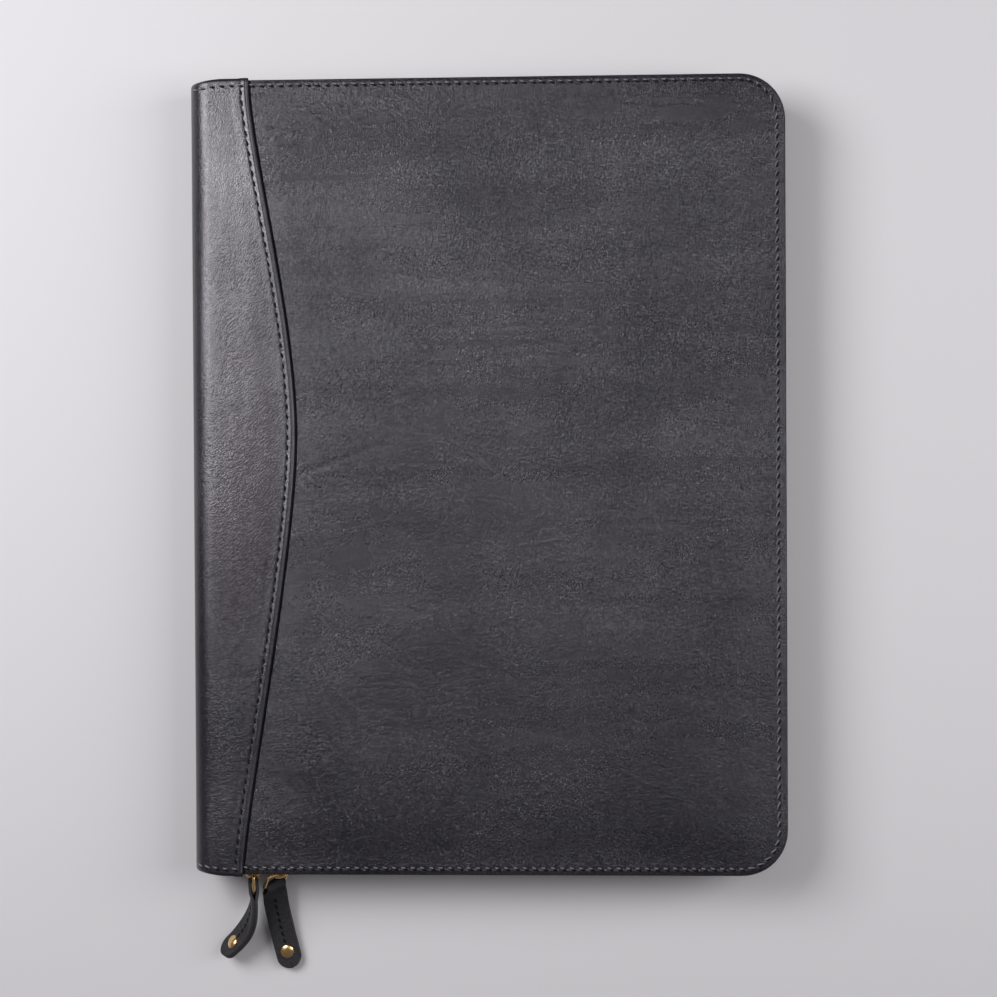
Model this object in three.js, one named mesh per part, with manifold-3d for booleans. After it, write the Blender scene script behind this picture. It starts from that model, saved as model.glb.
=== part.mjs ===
// Zip-round leather notebook cover, closed and lying on its back.
// Millimetres. X runs from the spine to the fore edge, Y from the bottom edge to the top edge, Z up.
// The origin is the middle of the back, on the surface that the cover lies on.

import * as THREE from 'three';
import { mergeVertices } from 'three/addons/utils/BufferGeometryUtils.js';
import Module from 'manifold-3d';

const wasm = await Module();
wasm.setup();

// Driving dimensions of the closed cover
const coverWidth = 254;
const coverHeight = 340;
const coverThickness = 30;
const foreCornerRadius = 19.5;
const shoulderRadius = 9.25;

// Layers of each cover, counted from outside
const flapThickness = 1;
const skinThickness = 1.5;
const boardThickness = 2;
const liningThickness = 0.75;
const turnedEdgeWidth = 7;
const edgeRound = 0.9;
const flapOverhang = 0.5;
const liningInset = 5;

// Curved hem of the spine leather, each distance taken from the spine's outer face
const hemAtTop = 26.3;
const hemTopRun = 19.2;
const hemTopLean = -1.9;
const hemCrest = 45.3;
const hemCrestHeight = 19.4;
const hemCrestRunUp = 50.8;
const hemCrestRunDown = 52;
const hemAtBottom = 21.6;
const hemBottomRun = 20.7;
const hemBottomLean = -0.8;

// Zip
const zipInset = 3;
const zipStart = 11;
const tapeThickness = 0.75;
const rowWidth = 2.5;
const rowHeight = 2.5;
const rowSlot = 1.5;
const stopLength = 3;
const stopWidth = 3.8;

// Zip sliders
const sliderLength = 10.2;
const sliderHeadHeight = 10.4;
const sliderTailHeight = 8.6;
const sliderCorner = 1.6;
const sliderPlate = 1;
const sliderLip = 1;
const sliderPostLength = 2.4;
const sliderPostHeight = 1;
const leftSliderPlace = 23.8;
const rightSliderPlace = 34.6;
const bailLength = 7.8;
const bailHeight = 4.8;
const bailWidth = 2;
const bailEyeLength = 5.2;
const bailEyeHeight = 3.8;

// Pull rings, measured between wire middles
const ringWidth = 11;
const ringReach = 7;
const ringStandOff = 2.35;
const ringWire = 1.3;
const ringCorner = 1.3;

// Leather straps on the rings. The tips' places are taken from the spine's outer face and the bottom edge.
const strapBend = 8.6;
const strapWidth = 10.6;
const strapNeckWidth = 8.6;
const strapThickness = 2.7;
const strapEyeRadius = 2.35;
const rivetRadius = 3;
const rivetDome = 1.1;
const rivetBackHeight = 0.5;
const rivetPost = 1;
const rivetFromTip = 7.2;
const leftTipPlace = 11.2;
const leftTipReach = 40.6;
const leftTipHeight = 5.8;
const leftTurnLength = 26;
const rightTipPlace = 37.4;
const rightTipReach = 45.9;
const rightTurnLength = 9;

// Inside fittings
const pocketThickness = 1;
const padSleeveWidth = 150;
const padSleeveMargin = 15;
const documentPocketWidth = 196;
const documentPocketHeight = 236;
const cardPocketWidth = 92;
const cardPocketHeight = 58;
const cardPocketRise = 90;
const cardPocketMargin = 8;
const cardPocketStep = 14;
const cardPocketCount = 3;
const penRadius = 5.5;
const penLoopWall = 1;
const penLoopLength = 34;
const penLoopHeight = 60;

// Clearances
const fitGap = 0.3;

// Places that follow from the sizes
const spineFace = -coverWidth / 2;
const foreFace = coverWidth / 2;
const halfHeight = coverHeight / 2;
const midPlane = coverThickness / 2;
const foldEnd = spineFace + shoulderRadius;
const panelStart = foldEnd + fitGap / 2;
const edgeDepth = skinThickness + boardThickness;
const frontSkinTop = coverThickness - flapThickness;
const frontSkinUnder = frontSkinTop - skinThickness;
const frontEdgeUnder = frontSkinTop - edgeDepth;
const zipRowBase = midPlane - rowSlot / 2 - rowHeight;
const zipRowTop = midPlane + rowSlot / 2;
const zipMidY = -(halfHeight - zipInset);
const cornerX = foreFace - foreCornerRadius;
const cornerY = halfHeight - foreCornerRadius;

// Materials
function leather(colour, roughness) {
  return new THREE.MeshStandardMaterial({ color: colour, roughness, metalness: 0 });
}

function brass() {
  return new THREE.MeshStandardMaterial({ color: 0xb08a4a, roughness: 0.3, metalness: 1 });
}

function board() {
  return new THREE.MeshStandardMaterial({ color: 0x8c8478, roughness: 0.9, metalness: 0 });
}

function cloth(colour) {
  return new THREE.MeshStandardMaterial({ color: colour, roughness: 0.85, metalness: 0 });
}

const coverLeather = leather(0x2d2c31, 0.45);
const strapLeather = leather(0x252429, 0.6);
const liningLeather = leather(0x242327, 0.6);
const zipBrass = brass();
const coverBoard = board();
const tapeCloth = cloth(0x17171a);

// Helpers for solids
function toSolid(geometry) {
  const plain = geometry.index ? geometry.toNonIndexed() : geometry.clone();
  plain.deleteAttribute('normal');
  plain.deleteAttribute('uv');
  const merged = mergeVertices(plain, 1e-4);
  const vertProperties = new Float32Array(merged.attributes.position.array);
  const triVerts = new Uint32Array(merged.index.array);
  return new wasm.Manifold(new wasm.Mesh({ numProp: 3, vertProperties, triVerts }));
}

function toGeometry(solid) {
  const mesh = solid.getMesh();
  const geometry = new THREE.BufferGeometry();
  geometry.setAttribute('position', new THREE.BufferAttribute(new Float32Array(mesh.vertProperties), 3));
  geometry.setIndex(new THREE.BufferAttribute(new Uint32Array(mesh.triVerts), 1));
  return geometry;
}

function named(name, geometry, material) {
  const mesh = new THREE.Mesh(geometry, material);
  mesh.name = name;
  return mesh;
}

function extruded(shape, base, depth, curveSegments = 12) {
  const geometry = new THREE.ExtrudeGeometry(shape, { depth, bevelEnabled: false, curveSegments });
  return geometry.translate(0, 0, base);
}

// A block given by its lowest and highest corners
function block(low, high) {
  const size = high.map((value, i) => value - low[i]);
  const geometry = new THREE.BoxGeometry(size[0], size[1], size[2]);
  return geometry.translate(low[0] + size[0] / 2, low[1] + size[1] / 2, low[2] + size[2] / 2);
}

// Outlines seen from above

// A sheet with square corners at the spine side and round ones at the fore edge
function coverOutline(left, inset) {
  const radius = Math.max(foreCornerRadius - inset, 1);
  const right = foreFace - inset;
  const top = halfHeight - inset;
  const shape = new THREE.Shape();
  shape.moveTo(left, -top);
  shape.lineTo(right - radius, -top);
  shape.absarc(right - radius, -top + radius, radius, -Math.PI / 2, 0, false);
  shape.lineTo(right, top - radius);
  shape.absarc(right - radius, top - radius, radius, 0, Math.PI / 2, false);
  shape.lineTo(left, top);
  shape.closePath();
  return shape;
}

// The curved hem from the top edge to the bottom edge, moved sideways and run past the edges by overhang
function followHem(shape, shift, overhang) {
  const x = (distance) => spineFace + distance + shift;
  const end = halfHeight + overhang;
  shape.lineTo(x(hemAtTop), end);
  shape.bezierCurveTo(
    x(hemAtTop + hemTopLean), end - hemTopRun,
    x(hemCrest), hemCrestHeight + hemCrestRunUp,
    x(hemCrest), hemCrestHeight,
  );
  shape.bezierCurveTo(
    x(hemCrest), hemCrestHeight - hemCrestRunDown,
    x(hemAtBottom + hemBottomLean), -end + hemBottomRun,
    x(hemAtBottom), -end,
  );
}

function flapOutline(overhang) {
  const shape = new THREE.Shape();
  shape.moveTo(panelStart, halfHeight + overhang);
  followHem(shape, 0, overhang);
  shape.lineTo(panelStart, -halfHeight - overhang);
  shape.closePath();
  return shape;
}

function rectangle(left, right, bottom, top) {
  const shape = new THREE.Shape();
  shape.moveTo(left, bottom);
  shape.lineTo(right, bottom);
  shape.lineTo(right, top);
  shape.lineTo(left, top);
  shape.closePath();
  return shape;
}

// The zip's way round bottom, fore edge and top, as a band of the given width
function zipBand(width, start, end) {
  const outer = zipInset - width / 2;
  const inner = zipInset + width / 2;
  const shape = new THREE.Shape();
  shape.moveTo(start, -(halfHeight - outer));
  shape.lineTo(cornerX, -(halfHeight - outer));
  shape.absarc(cornerX, -cornerY, foreCornerRadius - outer, -Math.PI / 2, 0, false);
  shape.lineTo(foreFace - outer, cornerY);
  shape.absarc(cornerX, cornerY, foreCornerRadius - outer, 0, Math.PI / 2, false);
  shape.lineTo(end, halfHeight - outer);
  shape.lineTo(end, halfHeight - inner);
  shape.lineTo(cornerX, halfHeight - inner);
  shape.absarc(cornerX, cornerY, foreCornerRadius - inner, Math.PI / 2, 0, true);
  shape.lineTo(foreFace - inner, -cornerY);
  shape.absarc(cornerX, -cornerY, foreCornerRadius - inner, 0, -Math.PI / 2, true);
  shape.lineTo(start, -(halfHeight - inner));
  shape.closePath();
  return shape;
}

// A leather panel whose edge is turned in to the depth of skin and board, with its long edges rounded
function turnedPanel(outside, inside, recessLow, recessHigh) {
  const shape = coverOutline(panelStart, 0);
  const geometry = new THREE.ExtrudeGeometry(shape, {
    depth: inside - outside - 2 * edgeRound,
    bevelThickness: edgeRound,
    bevelSize: edgeRound,
    bevelOffset: -edgeRound,
    bevelSegments: 3,
    curveSegments: 10,
  });
  geometry.translate(0, 0, outside + edgeRound);
  const recess = extruded(coverOutline(panelStart - turnedEdgeWidth, turnedEdgeWidth), recessLow,
    recessHigh - recessLow);
  return toSolid(geometry).subtract(toSolid(recess));
}

// Front cover
function frontLeather() {
  const solid = turnedPanel(frontEdgeUnder, frontSkinTop, frontEdgeUnder - 1, frontSkinUnder);
  return named('front_leather', toGeometry(solid), coverLeather);
}

function frontFlap() {
  const geometry = extruded(flapOutline(flapOverhang), frontSkinTop, flapThickness, 22);
  return named('front_flap', geometry, coverLeather);
}

function frontBoard() {
  const inset = turnedEdgeWidth + fitGap;
  const geometry = extruded(coverOutline(panelStart + fitGap, inset), frontEdgeUnder, boardThickness);
  return named('front_board', geometry, coverBoard);
}

function frontLining() {
  const base = frontEdgeUnder - liningThickness;
  const geometry = extruded(coverOutline(panelStart + fitGap, liningInset), base, liningThickness);
  return named('front_lining', geometry, liningLeather);
}

// Back cover. The spine leather is let in flush here, so that the cover lies flat.
function backLeather() {
  const whole = turnedPanel(0, edgeDepth, skinThickness, edgeDepth + 1);
  const cut = new THREE.Shape();
  cut.moveTo(panelStart - shoulderRadius, halfHeight + 1);
  followHem(cut, fitGap, 1);
  cut.lineTo(panelStart - shoulderRadius, -halfHeight - 1);
  cut.closePath();
  const solid = whole.subtract(toSolid(extruded(cut, -1, skinThickness + 1, 22)));
  return named('back_leather', toGeometry(solid), coverLeather);
}

function backFlap() {
  return named('back_flap', extruded(flapOutline(0), 0, skinThickness, 22), coverLeather);
}

function backBoard() {
  const inset = turnedEdgeWidth + fitGap;
  const geometry = extruded(coverOutline(panelStart + fitGap, inset), skinThickness, boardThickness);
  return named('back_board', geometry, coverBoard);
}

function backLining() {
  const geometry = extruded(coverOutline(panelStart + fitGap, liningInset), edgeDepth, liningThickness);
  return named('back_lining', geometry, liningLeather);
}

// Spine: its layers stand upright between the two shoulders
function spineLayer(name, depthLow, thickness, inset, material) {
  const low = [spineFace + depthLow, -halfHeight + inset, shoulderRadius + fitGap / 2];
  const high = [low[0] + thickness, halfHeight - inset, coverThickness - shoulderRadius - fitGap / 2];
  return named(name, block(low, high), material);
}

// Rounded shoulder leather, a quarter ring along the whole height of the cover
function shoulder(name, centreZ, direction) {
  const outer = shoulderRadius;
  const inner = shoulderRadius - skinThickness;
  const slack = fitGap / 2 / shoulderRadius;
  const from = direction > 0 ? Math.PI / 2 + slack : Math.PI + slack;
  const to = direction > 0 ? Math.PI - slack : 1.5 * Math.PI - slack;
  const shape = new THREE.Shape();
  shape.absarc(0, 0, outer, from, to, false);
  shape.absarc(0, 0, inner, to, from, true);
  shape.closePath();
  const geometry = extruded(shape, 0, coverHeight, 12);
  geometry.rotateX(Math.PI / 2);
  geometry.translate(foldEnd, halfHeight, centreZ);
  return named(name, geometry, coverLeather);
}

// Zip tape and teeth
const zipEndX = spineFace + zipStart;

function zipTape(name, base, height) {
  const geometry = extruded(zipBand(tapeThickness, zipEndX, zipEndX), base, height, 10);
  return named(name, geometry, tapeCloth);
}

function zipRow(name, base) {
  const start = zipEndX + stopLength + fitGap;
  return named(name, extruded(zipBand(rowWidth, start, start), base, rowHeight, 10), zipBrass);
}

function zipStop(name, side, base) {
  const y = side * (halfHeight - zipInset);
  const low = [zipEndX, y - stopWidth / 2, base];
  const high = [zipEndX + stopLength, y + stopWidth / 2, base + rowHeight];
  return named(name, block(low, high), zipBrass);
}

// A slider's two plates with the channel between them, joined by the post that parts the rows.
// headSide is +1 where the wide head faces the fore edge. The front of the channel stays open.
function sliderBody(name, centreX, headSide) {
  const half = sliderLength / 2;
  const head = sliderHeadHeight / 2;
  const tail = sliderTailHeight / 2;
  const outline = new THREE.Shape();
  outline.moveTo(-half, -tail + sliderCorner);
  outline.quadraticCurveTo(-half, -tail, -half + sliderCorner, -tail);
  outline.lineTo(half - sliderCorner, -head);
  outline.quadraticCurveTo(half, -head, half, -head + sliderCorner);
  outline.lineTo(half, head - sliderCorner);
  outline.quadraticCurveTo(half, head, half - sliderCorner, head);
  outline.lineTo(-half + sliderCorner, tail);
  outline.quadraticCurveTo(-half, tail, -half, tail - sliderCorner);
  outline.closePath();

  const channelHalf = rowWidth / 2 + fitGap;
  const depth = 2 * (channelHalf + sliderPlate);
  const body = extruded(outline, -depth / 2, depth, 3);
  if (headSide < 0) body.rotateZ(Math.PI);
  body.rotateX(Math.PI / 2);

  const lipTop = -rowSlot / 2 - rowHeight - fitGap;
  const slotHalf = tapeThickness / 2 + fitGap;
  const channel = block([-half - 1, -channelHalf, lipTop], [half + 1, channelHalf, head + 1]);
  const slot = block([-half - 1, -slotHalf, -head - 1], [half + 1, slotHalf, lipTop + sliderLip]);
  const postX = headSide * (half - sliderPostLength);
  const post = block(
    [postX - sliderPostLength / 2, -channelHalf - sliderPlate / 2, -sliderPostHeight / 2],
    [postX + sliderPostLength / 2, channelHalf + sliderPlate / 2, sliderPostHeight / 2],
  );
  const solid = toSolid(body).subtract(toSolid(channel)).subtract(toSolid(slot)).add(toSolid(post));
  const mesh = named(name, toGeometry(solid), zipBrass);
  mesh.position.set(centreX, zipMidY, midPlane);
  return mesh;
}

// Outer face of the slider plates, which the bails stand on
const plateFaceY = zipMidY - rowWidth / 2 - fitGap - sliderPlate;

// The bail is an arch over the slider's outer plate, with an eye for the ring
function sliderBail(name, centreX) {
  const half = bailLength / 2;
  const eye = bailEyeLength / 2;
  const shape = new THREE.Shape();
  shape.moveTo(-half, 0);
  shape.bezierCurveTo(-half, bailHeight * 0.75, -half * 0.6, bailHeight, 0, bailHeight);
  shape.bezierCurveTo(half * 0.6, bailHeight, half, bailHeight * 0.75, half, 0);
  shape.lineTo(eye, 0);
  shape.lineTo(eye, bailEyeHeight * 0.6);
  shape.quadraticCurveTo(eye, bailEyeHeight, eye * 0.6, bailEyeHeight);
  shape.lineTo(-eye * 0.6, bailEyeHeight);
  shape.quadraticCurveTo(-eye, bailEyeHeight, -eye, bailEyeHeight * 0.6);
  shape.lineTo(-eye, 0);
  shape.closePath();
  const geometry = extruded(shape, -bailWidth / 2, bailWidth, 5);
  geometry.rotateZ(Math.PI);
  const mesh = named(name, geometry, zipBrass);
  mesh.position.set(centreX, plateFaceY, midPlane);
  return mesh;
}

// A ring lies in the plane of its bar direction and its reach. Both are unit vectors square to each other.
const ringAxisY = plateFaceY - ringStandOff;

function ringFrame(centreX, barTilt, barSlant, droop) {
  const level = Math.sin(barTilt);
  const bar = new THREE.Vector3(level * Math.cos(barSlant), level * Math.sin(barSlant), -Math.cos(barTilt));
  const out = new THREE.Vector3(0, -1, 0);
  out.addScaledVector(bar, -out.dot(bar)).normalize().applyAxisAngle(bar, droop);
  const top = new THREE.Vector3(centreX, ringAxisY, midPlane);
  const end = top.clone().addScaledVector(out, ringReach);
  return { bar, out, top, end };
}

function roundedRectangle(target, halfWide, low, high, radius) {
  target.moveTo(-halfWide + radius, low);
  target.lineTo(halfWide - radius, low);
  target.absarc(halfWide - radius, low + radius, radius, -Math.PI / 2, 0, false);
  target.lineTo(halfWide, high - radius);
  target.absarc(halfWide - radius, high - radius, radius, 0, Math.PI / 2, false);
  target.lineTo(-halfWide + radius, high);
  target.absarc(-halfWide + radius, high - radius, radius, Math.PI / 2, Math.PI, false);
  target.lineTo(-halfWide, low + radius);
  target.absarc(-halfWide + radius, low + radius, radius, Math.PI, 1.5 * Math.PI, false);
  return target;
}

function pullRing(name, frame) {
  const wire = ringWire / 2;
  const bevel = wire * 0.6;
  const shape = roundedRectangle(new THREE.Shape(), ringWidth / 2 + wire, -wire, ringReach + wire,
    ringCorner + wire);
  shape.holes.push(roundedRectangle(new THREE.Path(), ringWidth / 2 - wire, wire, ringReach - wire,
    ringCorner - wire));
  const geometry = new THREE.ExtrudeGeometry(shape, {
    depth: ringWire - 2 * bevel,
    bevelThickness: bevel,
    bevelSize: bevel,
    bevelOffset: -bevel,
    bevelSegments: 2,
    curveSegments: 5,
  });
  geometry.translate(0, 0, -wire + bevel);
  const normal = new THREE.Vector3().crossVectors(frame.bar, frame.out);
  geometry.applyMatrix4(new THREE.Matrix4().makeBasis(frame.bar, frame.out, normal));
  const mesh = named(name, geometry, zipBrass);
  mesh.position.copy(frame.top);
  return mesh;
}

// A strap's middle line leaves the ring bar and comes to rest on the surface. Its width turns from the bar's
// direction at the eye to tipTurn, the slope of the width across the tip, over the first part of its length.
function strapShape(frame, lineEnd, sag, tipWidth, turnLength) {
  const start = frame.end.clone();
  const line = new THREE.CubicBezierCurve3(
    start,
    start.clone().addScaledVector(frame.out, strapBend).add(sag),
    lineEnd.clone().lerp(start, 0.35).setZ(lineEnd.z + 0.6),
    lineEnd,
  );
  const at = (t) => {
    const point = line.getPointAt(t);
    const along = line.getTangentAt(t);
    const turn = THREE.MathUtils.smoothstep(t * line.getLength(), 0, turnLength);
    const wide = frame.bar.clone().lerp(tipWidth, turn);
    wide.addScaledVector(along, -wide.dot(along)).normalize();
    const normal = new THREE.Vector3().crossVectors(wide, along).normalize();
    if (normal.z < 0) normal.negate();
    return { point, along, wide, normal };
  };
  return { line, at };
}

// The band is lofted from eight-sided sections, with a half-round tip
function strapBand(shape) {
  const length = shape.line.getLength();
  const round = strapWidth / 2;
  const places = [];
  for (let i = 0; i <= 12; i += 1) places.push(1.9 + (i / 12) * (length - round - 1.9));
  for (let i = 1; i <= 6; i += 1) places.push(length - round + round * Math.sin((i / 6.4) * (Math.PI / 2)));
  const points = [];
  for (const place of places) {
    const { point, wide, normal } = shape.at(place / length);
    const grow = THREE.MathUtils.smoothstep(place, 3, 9);
    let half = (strapNeckWidth + (strapWidth - strapNeckWidth) * grow) / 2;
    const past = place - (length - round);
    if (past > 0) half = Math.sqrt(round * round - past * past);
    const thick = strapThickness / 2;
    const chamfer = 0.4;
    const corners = [
      [half, thick - chamfer], [half - chamfer, thick], [-half + chamfer, thick], [-half, thick - chamfer],
      [-half, -thick + chamfer], [-half + chamfer, -thick], [half - chamfer, -thick], [half, -thick + chamfer],
    ];
    for (const [across, up] of corners) {
      points.push(point.clone().addScaledVector(wide, across).addScaledVector(normal, up));
    }
  }
  const sides = 8;
  const faces = [];
  for (let ring = 0; ring < places.length - 1; ring += 1) {
    for (let i = 0; i < sides; i += 1) {
      const a = ring * sides + i;
      const b = ring * sides + ((i + 1) % sides);
      faces.push(a, b, b + sides, a, b + sides, a + sides);
    }
  }
  const last = (places.length - 1) * sides;
  for (let i = 1; i < sides - 1; i += 1) {
    faces.push(0, i + 1, i);
    faces.push(last, last + i, last + i + 1);
  }
  const geometry = new THREE.BufferGeometry().setFromPoints(points);
  geometry.setIndex(faces);
  return geometry;
}

function outwardSolid(geometry) {
  const solid = toSolid(geometry);
  if (solid.volume() > 0) return solid;
  const index = geometry.index.array;
  for (let i = 0; i < index.length; i += 3) [index[i + 1], index[i + 2]] = [index[i + 2], index[i + 1]];
  return toSolid(geometry);
}

// The eye is the fold of leather round the ring's bar
function strapEye(frame) {
  const shape = new THREE.Shape().absarc(0, 0, strapEyeRadius, 0, 2 * Math.PI, false);
  const eye = extruded(shape, -strapNeckWidth / 2, strapNeckWidth, 10);
  return eye.applyMatrix4(barMatrix(frame));
}

function strapEyeBore(frame) {
  const shape = new THREE.Shape().absarc(0, 0, ringWire / 2 + fitGap, 0, 2 * Math.PI, false);
  const bore = extruded(shape, -strapNeckWidth, 2 * strapNeckWidth, 8);
  return bore.applyMatrix4(barMatrix(frame));
}

function barMatrix(frame) {
  const side = new THREE.Vector3().crossVectors(frame.bar, frame.out);
  const matrix = new THREE.Matrix4().makeBasis(frame.out, side, frame.bar);
  return matrix.setPosition(frame.end);
}

function rivetMatrix(shape) {
  const length = shape.line.getLength();
  const { point, wide, normal } = shape.at((length - rivetFromTip) / length);
  const along = new THREE.Vector3().crossVectors(normal, wide);
  return new THREE.Matrix4().makeBasis(wide, along, normal).setPosition(point);
}

function strap(name, frame, shape) {
  const hole = new THREE.CylinderGeometry(rivetPost + fitGap, rivetPost + fitGap, 3 * strapThickness, 12);
  hole.rotateX(Math.PI / 2);
  hole.applyMatrix4(rivetMatrix(shape));
  const solid = outwardSolid(strapBand(shape))
    .add(toSolid(strapEye(frame)))
    .subtract(toSolid(strapEyeBore(frame)))
    .subtract(toSolid(hole));
  return named(name, toGeometry(solid), strapLeather);
}

function rivet(name, shape) {
  const face = strapThickness / 2 + fitGap;
  const profile = [
    new THREE.Vector2(0, -face - rivetBackHeight),
    new THREE.Vector2(rivetRadius * 0.8, -face - rivetBackHeight),
    new THREE.Vector2(rivetRadius, -face),
    new THREE.Vector2(rivetPost, -face),
    new THREE.Vector2(rivetPost, face),
    new THREE.Vector2(rivetRadius, face),
  ];
  for (let i = 1; i <= 5; i += 1) {
    const angle = (i / 5) * (Math.PI / 2);
    profile.push(new THREE.Vector2(rivetRadius * Math.cos(angle), face + rivetDome * Math.sin(angle)));
  }
  profile[profile.length - 1].x = 0;
  const geometry = new THREE.LatheGeometry(profile, 20);
  geometry.rotateX(Math.PI / 2);
  geometry.applyMatrix4(rivetMatrix(shape));
  return named(name, geometry, zipBrass);
}

// Inside fittings
function notebookSleeve() {
  const right = foreFace - liningInset - 2;
  const base = edgeDepth + liningThickness;
  const top = halfHeight - liningInset - padSleeveMargin;
  const shape = rectangle(right - padSleeveWidth, right, -top, top);
  return named('notebook_sleeve', extruded(shape, base, pocketThickness), liningLeather);
}

function documentPocket() {
  const base = frontEdgeUnder - liningThickness - pocketThickness;
  const left = (foreFace + panelStart - documentPocketWidth) / 2;
  const bottom = -halfHeight + 2 * liningInset + 4;
  const shape = rectangle(left, left + documentPocketWidth, bottom, bottom + documentPocketHeight);
  return named('document_pocket', extruded(shape, base, pocketThickness), liningLeather);
}

// Card pockets lie over each other, each one a step lower than the one behind it
function cardPocket(index) {
  const pocketBase = frontEdgeUnder - liningThickness - pocketThickness;
  const base = pocketBase - (index + 1) * pocketThickness;
  const left = (foreFace + panelStart - documentPocketWidth) / 2 + cardPocketMargin;
  const bottom = -halfHeight + 2 * liningInset + cardPocketRise;
  const top = bottom + cardPocketHeight + (cardPocketCount - 1 - index) * cardPocketStep;
  const shape = rectangle(left, left + cardPocketWidth, bottom, top);
  return named(`card_pocket_${index + 1}`, extruded(shape, base, pocketThickness), liningLeather);
}

// A flat-based leather tube on the back lining, beside the pad
function penLoop() {
  const outer = penRadius + penLoopWall;
  const base = edgeDepth + liningThickness;
  const shape = new THREE.Shape();
  shape.moveTo(-outer, 0);
  shape.lineTo(outer, 0);
  shape.lineTo(outer, outer);
  shape.absarc(0, outer, outer, 0, Math.PI, false);
  shape.closePath();
  const hole = new THREE.Path();
  hole.moveTo(-penRadius, penLoopWall);
  hole.lineTo(penRadius, penLoopWall);
  hole.lineTo(penRadius, outer);
  hole.absarc(0, outer, penRadius, 0, Math.PI, false);
  hole.closePath();
  shape.holes.push(hole);
  const geometry = extruded(shape, 0, penLoopLength, 8);
  geometry.rotateX(Math.PI / 2);
  const x = panelStart + fitGap + outer + 1;
  geometry.translate(x, penLoopHeight + penLoopLength, base);
  return named('pen_loop', geometry, liningLeather);
}

// Assembly
const cover = new THREE.Group();

const frontCover = new THREE.Group();
frontCover.add(frontLeather(), frontFlap(), frontBoard(), frontLining(), documentPocket());
for (let i = 0; i < cardPocketCount; i += 1) frontCover.add(cardPocket(i));
frontCover.add(zipTape('zip_tape_front', zipRowTop + rowHeight, frontEdgeUnder - zipRowTop - rowHeight));
frontCover.add(zipRow('zip_teeth_front', zipRowTop));
frontCover.add(zipStop('zip_stop_front_bottom', -1, zipRowTop), zipStop('zip_stop_front_top', 1, zipRowTop));

const backCover = new THREE.Group();
backCover.add(backLeather(), backFlap(), backBoard(), backLining(), notebookSleeve(), penLoop());
backCover.add(zipTape('zip_tape_back', edgeDepth, zipRowBase - edgeDepth));
backCover.add(zipRow('zip_teeth_back', zipRowBase));
backCover.add(zipStop('zip_stop_back_bottom', -1, zipRowBase), zipStop('zip_stop_back_top', 1, zipRowBase));

const spine = new THREE.Group();
const spineInner = skinThickness + boardThickness;
spine.add(spineLayer('spine_leather', 0, skinThickness, 0, coverLeather));
spine.add(spineLayer('spine_board', skinThickness, boardThickness, turnedEdgeWidth, coverBoard));
spine.add(spineLayer('spine_lining', spineInner, liningThickness, liningInset, liningLeather));
spine.add(shoulder('front_fold', coverThickness - shoulderRadius, 1));
spine.add(shoulder('back_fold', shoulderRadius, -1));

// One zip pull: slider, bail, ring, strap and rivet
function zipPull(side, place, headSide, barTilt, barSlant, droop, lineEnd, sag, tipWidth, turnLength) {
  const centreX = spineFace + place;
  const frame = ringFrame(centreX, barTilt, barSlant, droop);
  const shape = strapShape(frame, lineEnd, sag, tipWidth, turnLength);
  const pull = new THREE.Group();
  pull.add(sliderBody(`slider_${side}`, centreX, headSide));
  pull.add(sliderBail(`bail_${side}`, centreX));
  pull.add(pullRing(`ring_${side}`, frame));
  pull.add(strap(`strap_${side}`, frame, shape));
  pull.add(rivet(`rivet_${side}`, shape));
  return pull;
}

const degree = Math.PI / 180;
const restHeight = strapThickness / 2 + fitGap + rivetBackHeight;

const leftPull = zipPull(
  'left', leftSliderPlace, 1, -9.5 * degree, 0, 0,
  new THREE.Vector3(spineFace + leftTipPlace, -halfHeight - leftTipReach, leftTipHeight),
  new THREE.Vector3(-0.4, -1, -1),
  new THREE.Vector3(-0.37, 0.15, -0.92),
  leftTurnLength,
);

const rightPull = zipPull(
  'right', rightSliderPlace, -1, 45.5 * degree, 16 * degree, 37 * degree,
  new THREE.Vector3(spineFace + rightTipPlace, -halfHeight - rightTipReach, restHeight),
  new THREE.Vector3(1.2, -1, -2),
  new THREE.Vector3(0.98, 0.19, 0),
  rightTurnLength,
);

cover.add(frontCover, backCover, spine, leftPull, rightPull);

export default cover;
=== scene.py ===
# %% [markdown]
# # A zip-round leather notebook cover
#
# This lesson dresses a closed A4 notebook cover in leather, brass, thread and woven tape. The solids of
# the cover come first, as a fixed frame: they say where every piece is and how large it is. The lesson then
# models what the eye meets, piece by piece: the padded front panel with its turned and sewn edge, the spine
# leather with its curved hem, the zip, its sliders and rings, the leather pulls, and the inside.

# %% Load the frame
import math

import bmesh
import bpy
import numpy as np
from mathutils import Matrix, Vector


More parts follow.
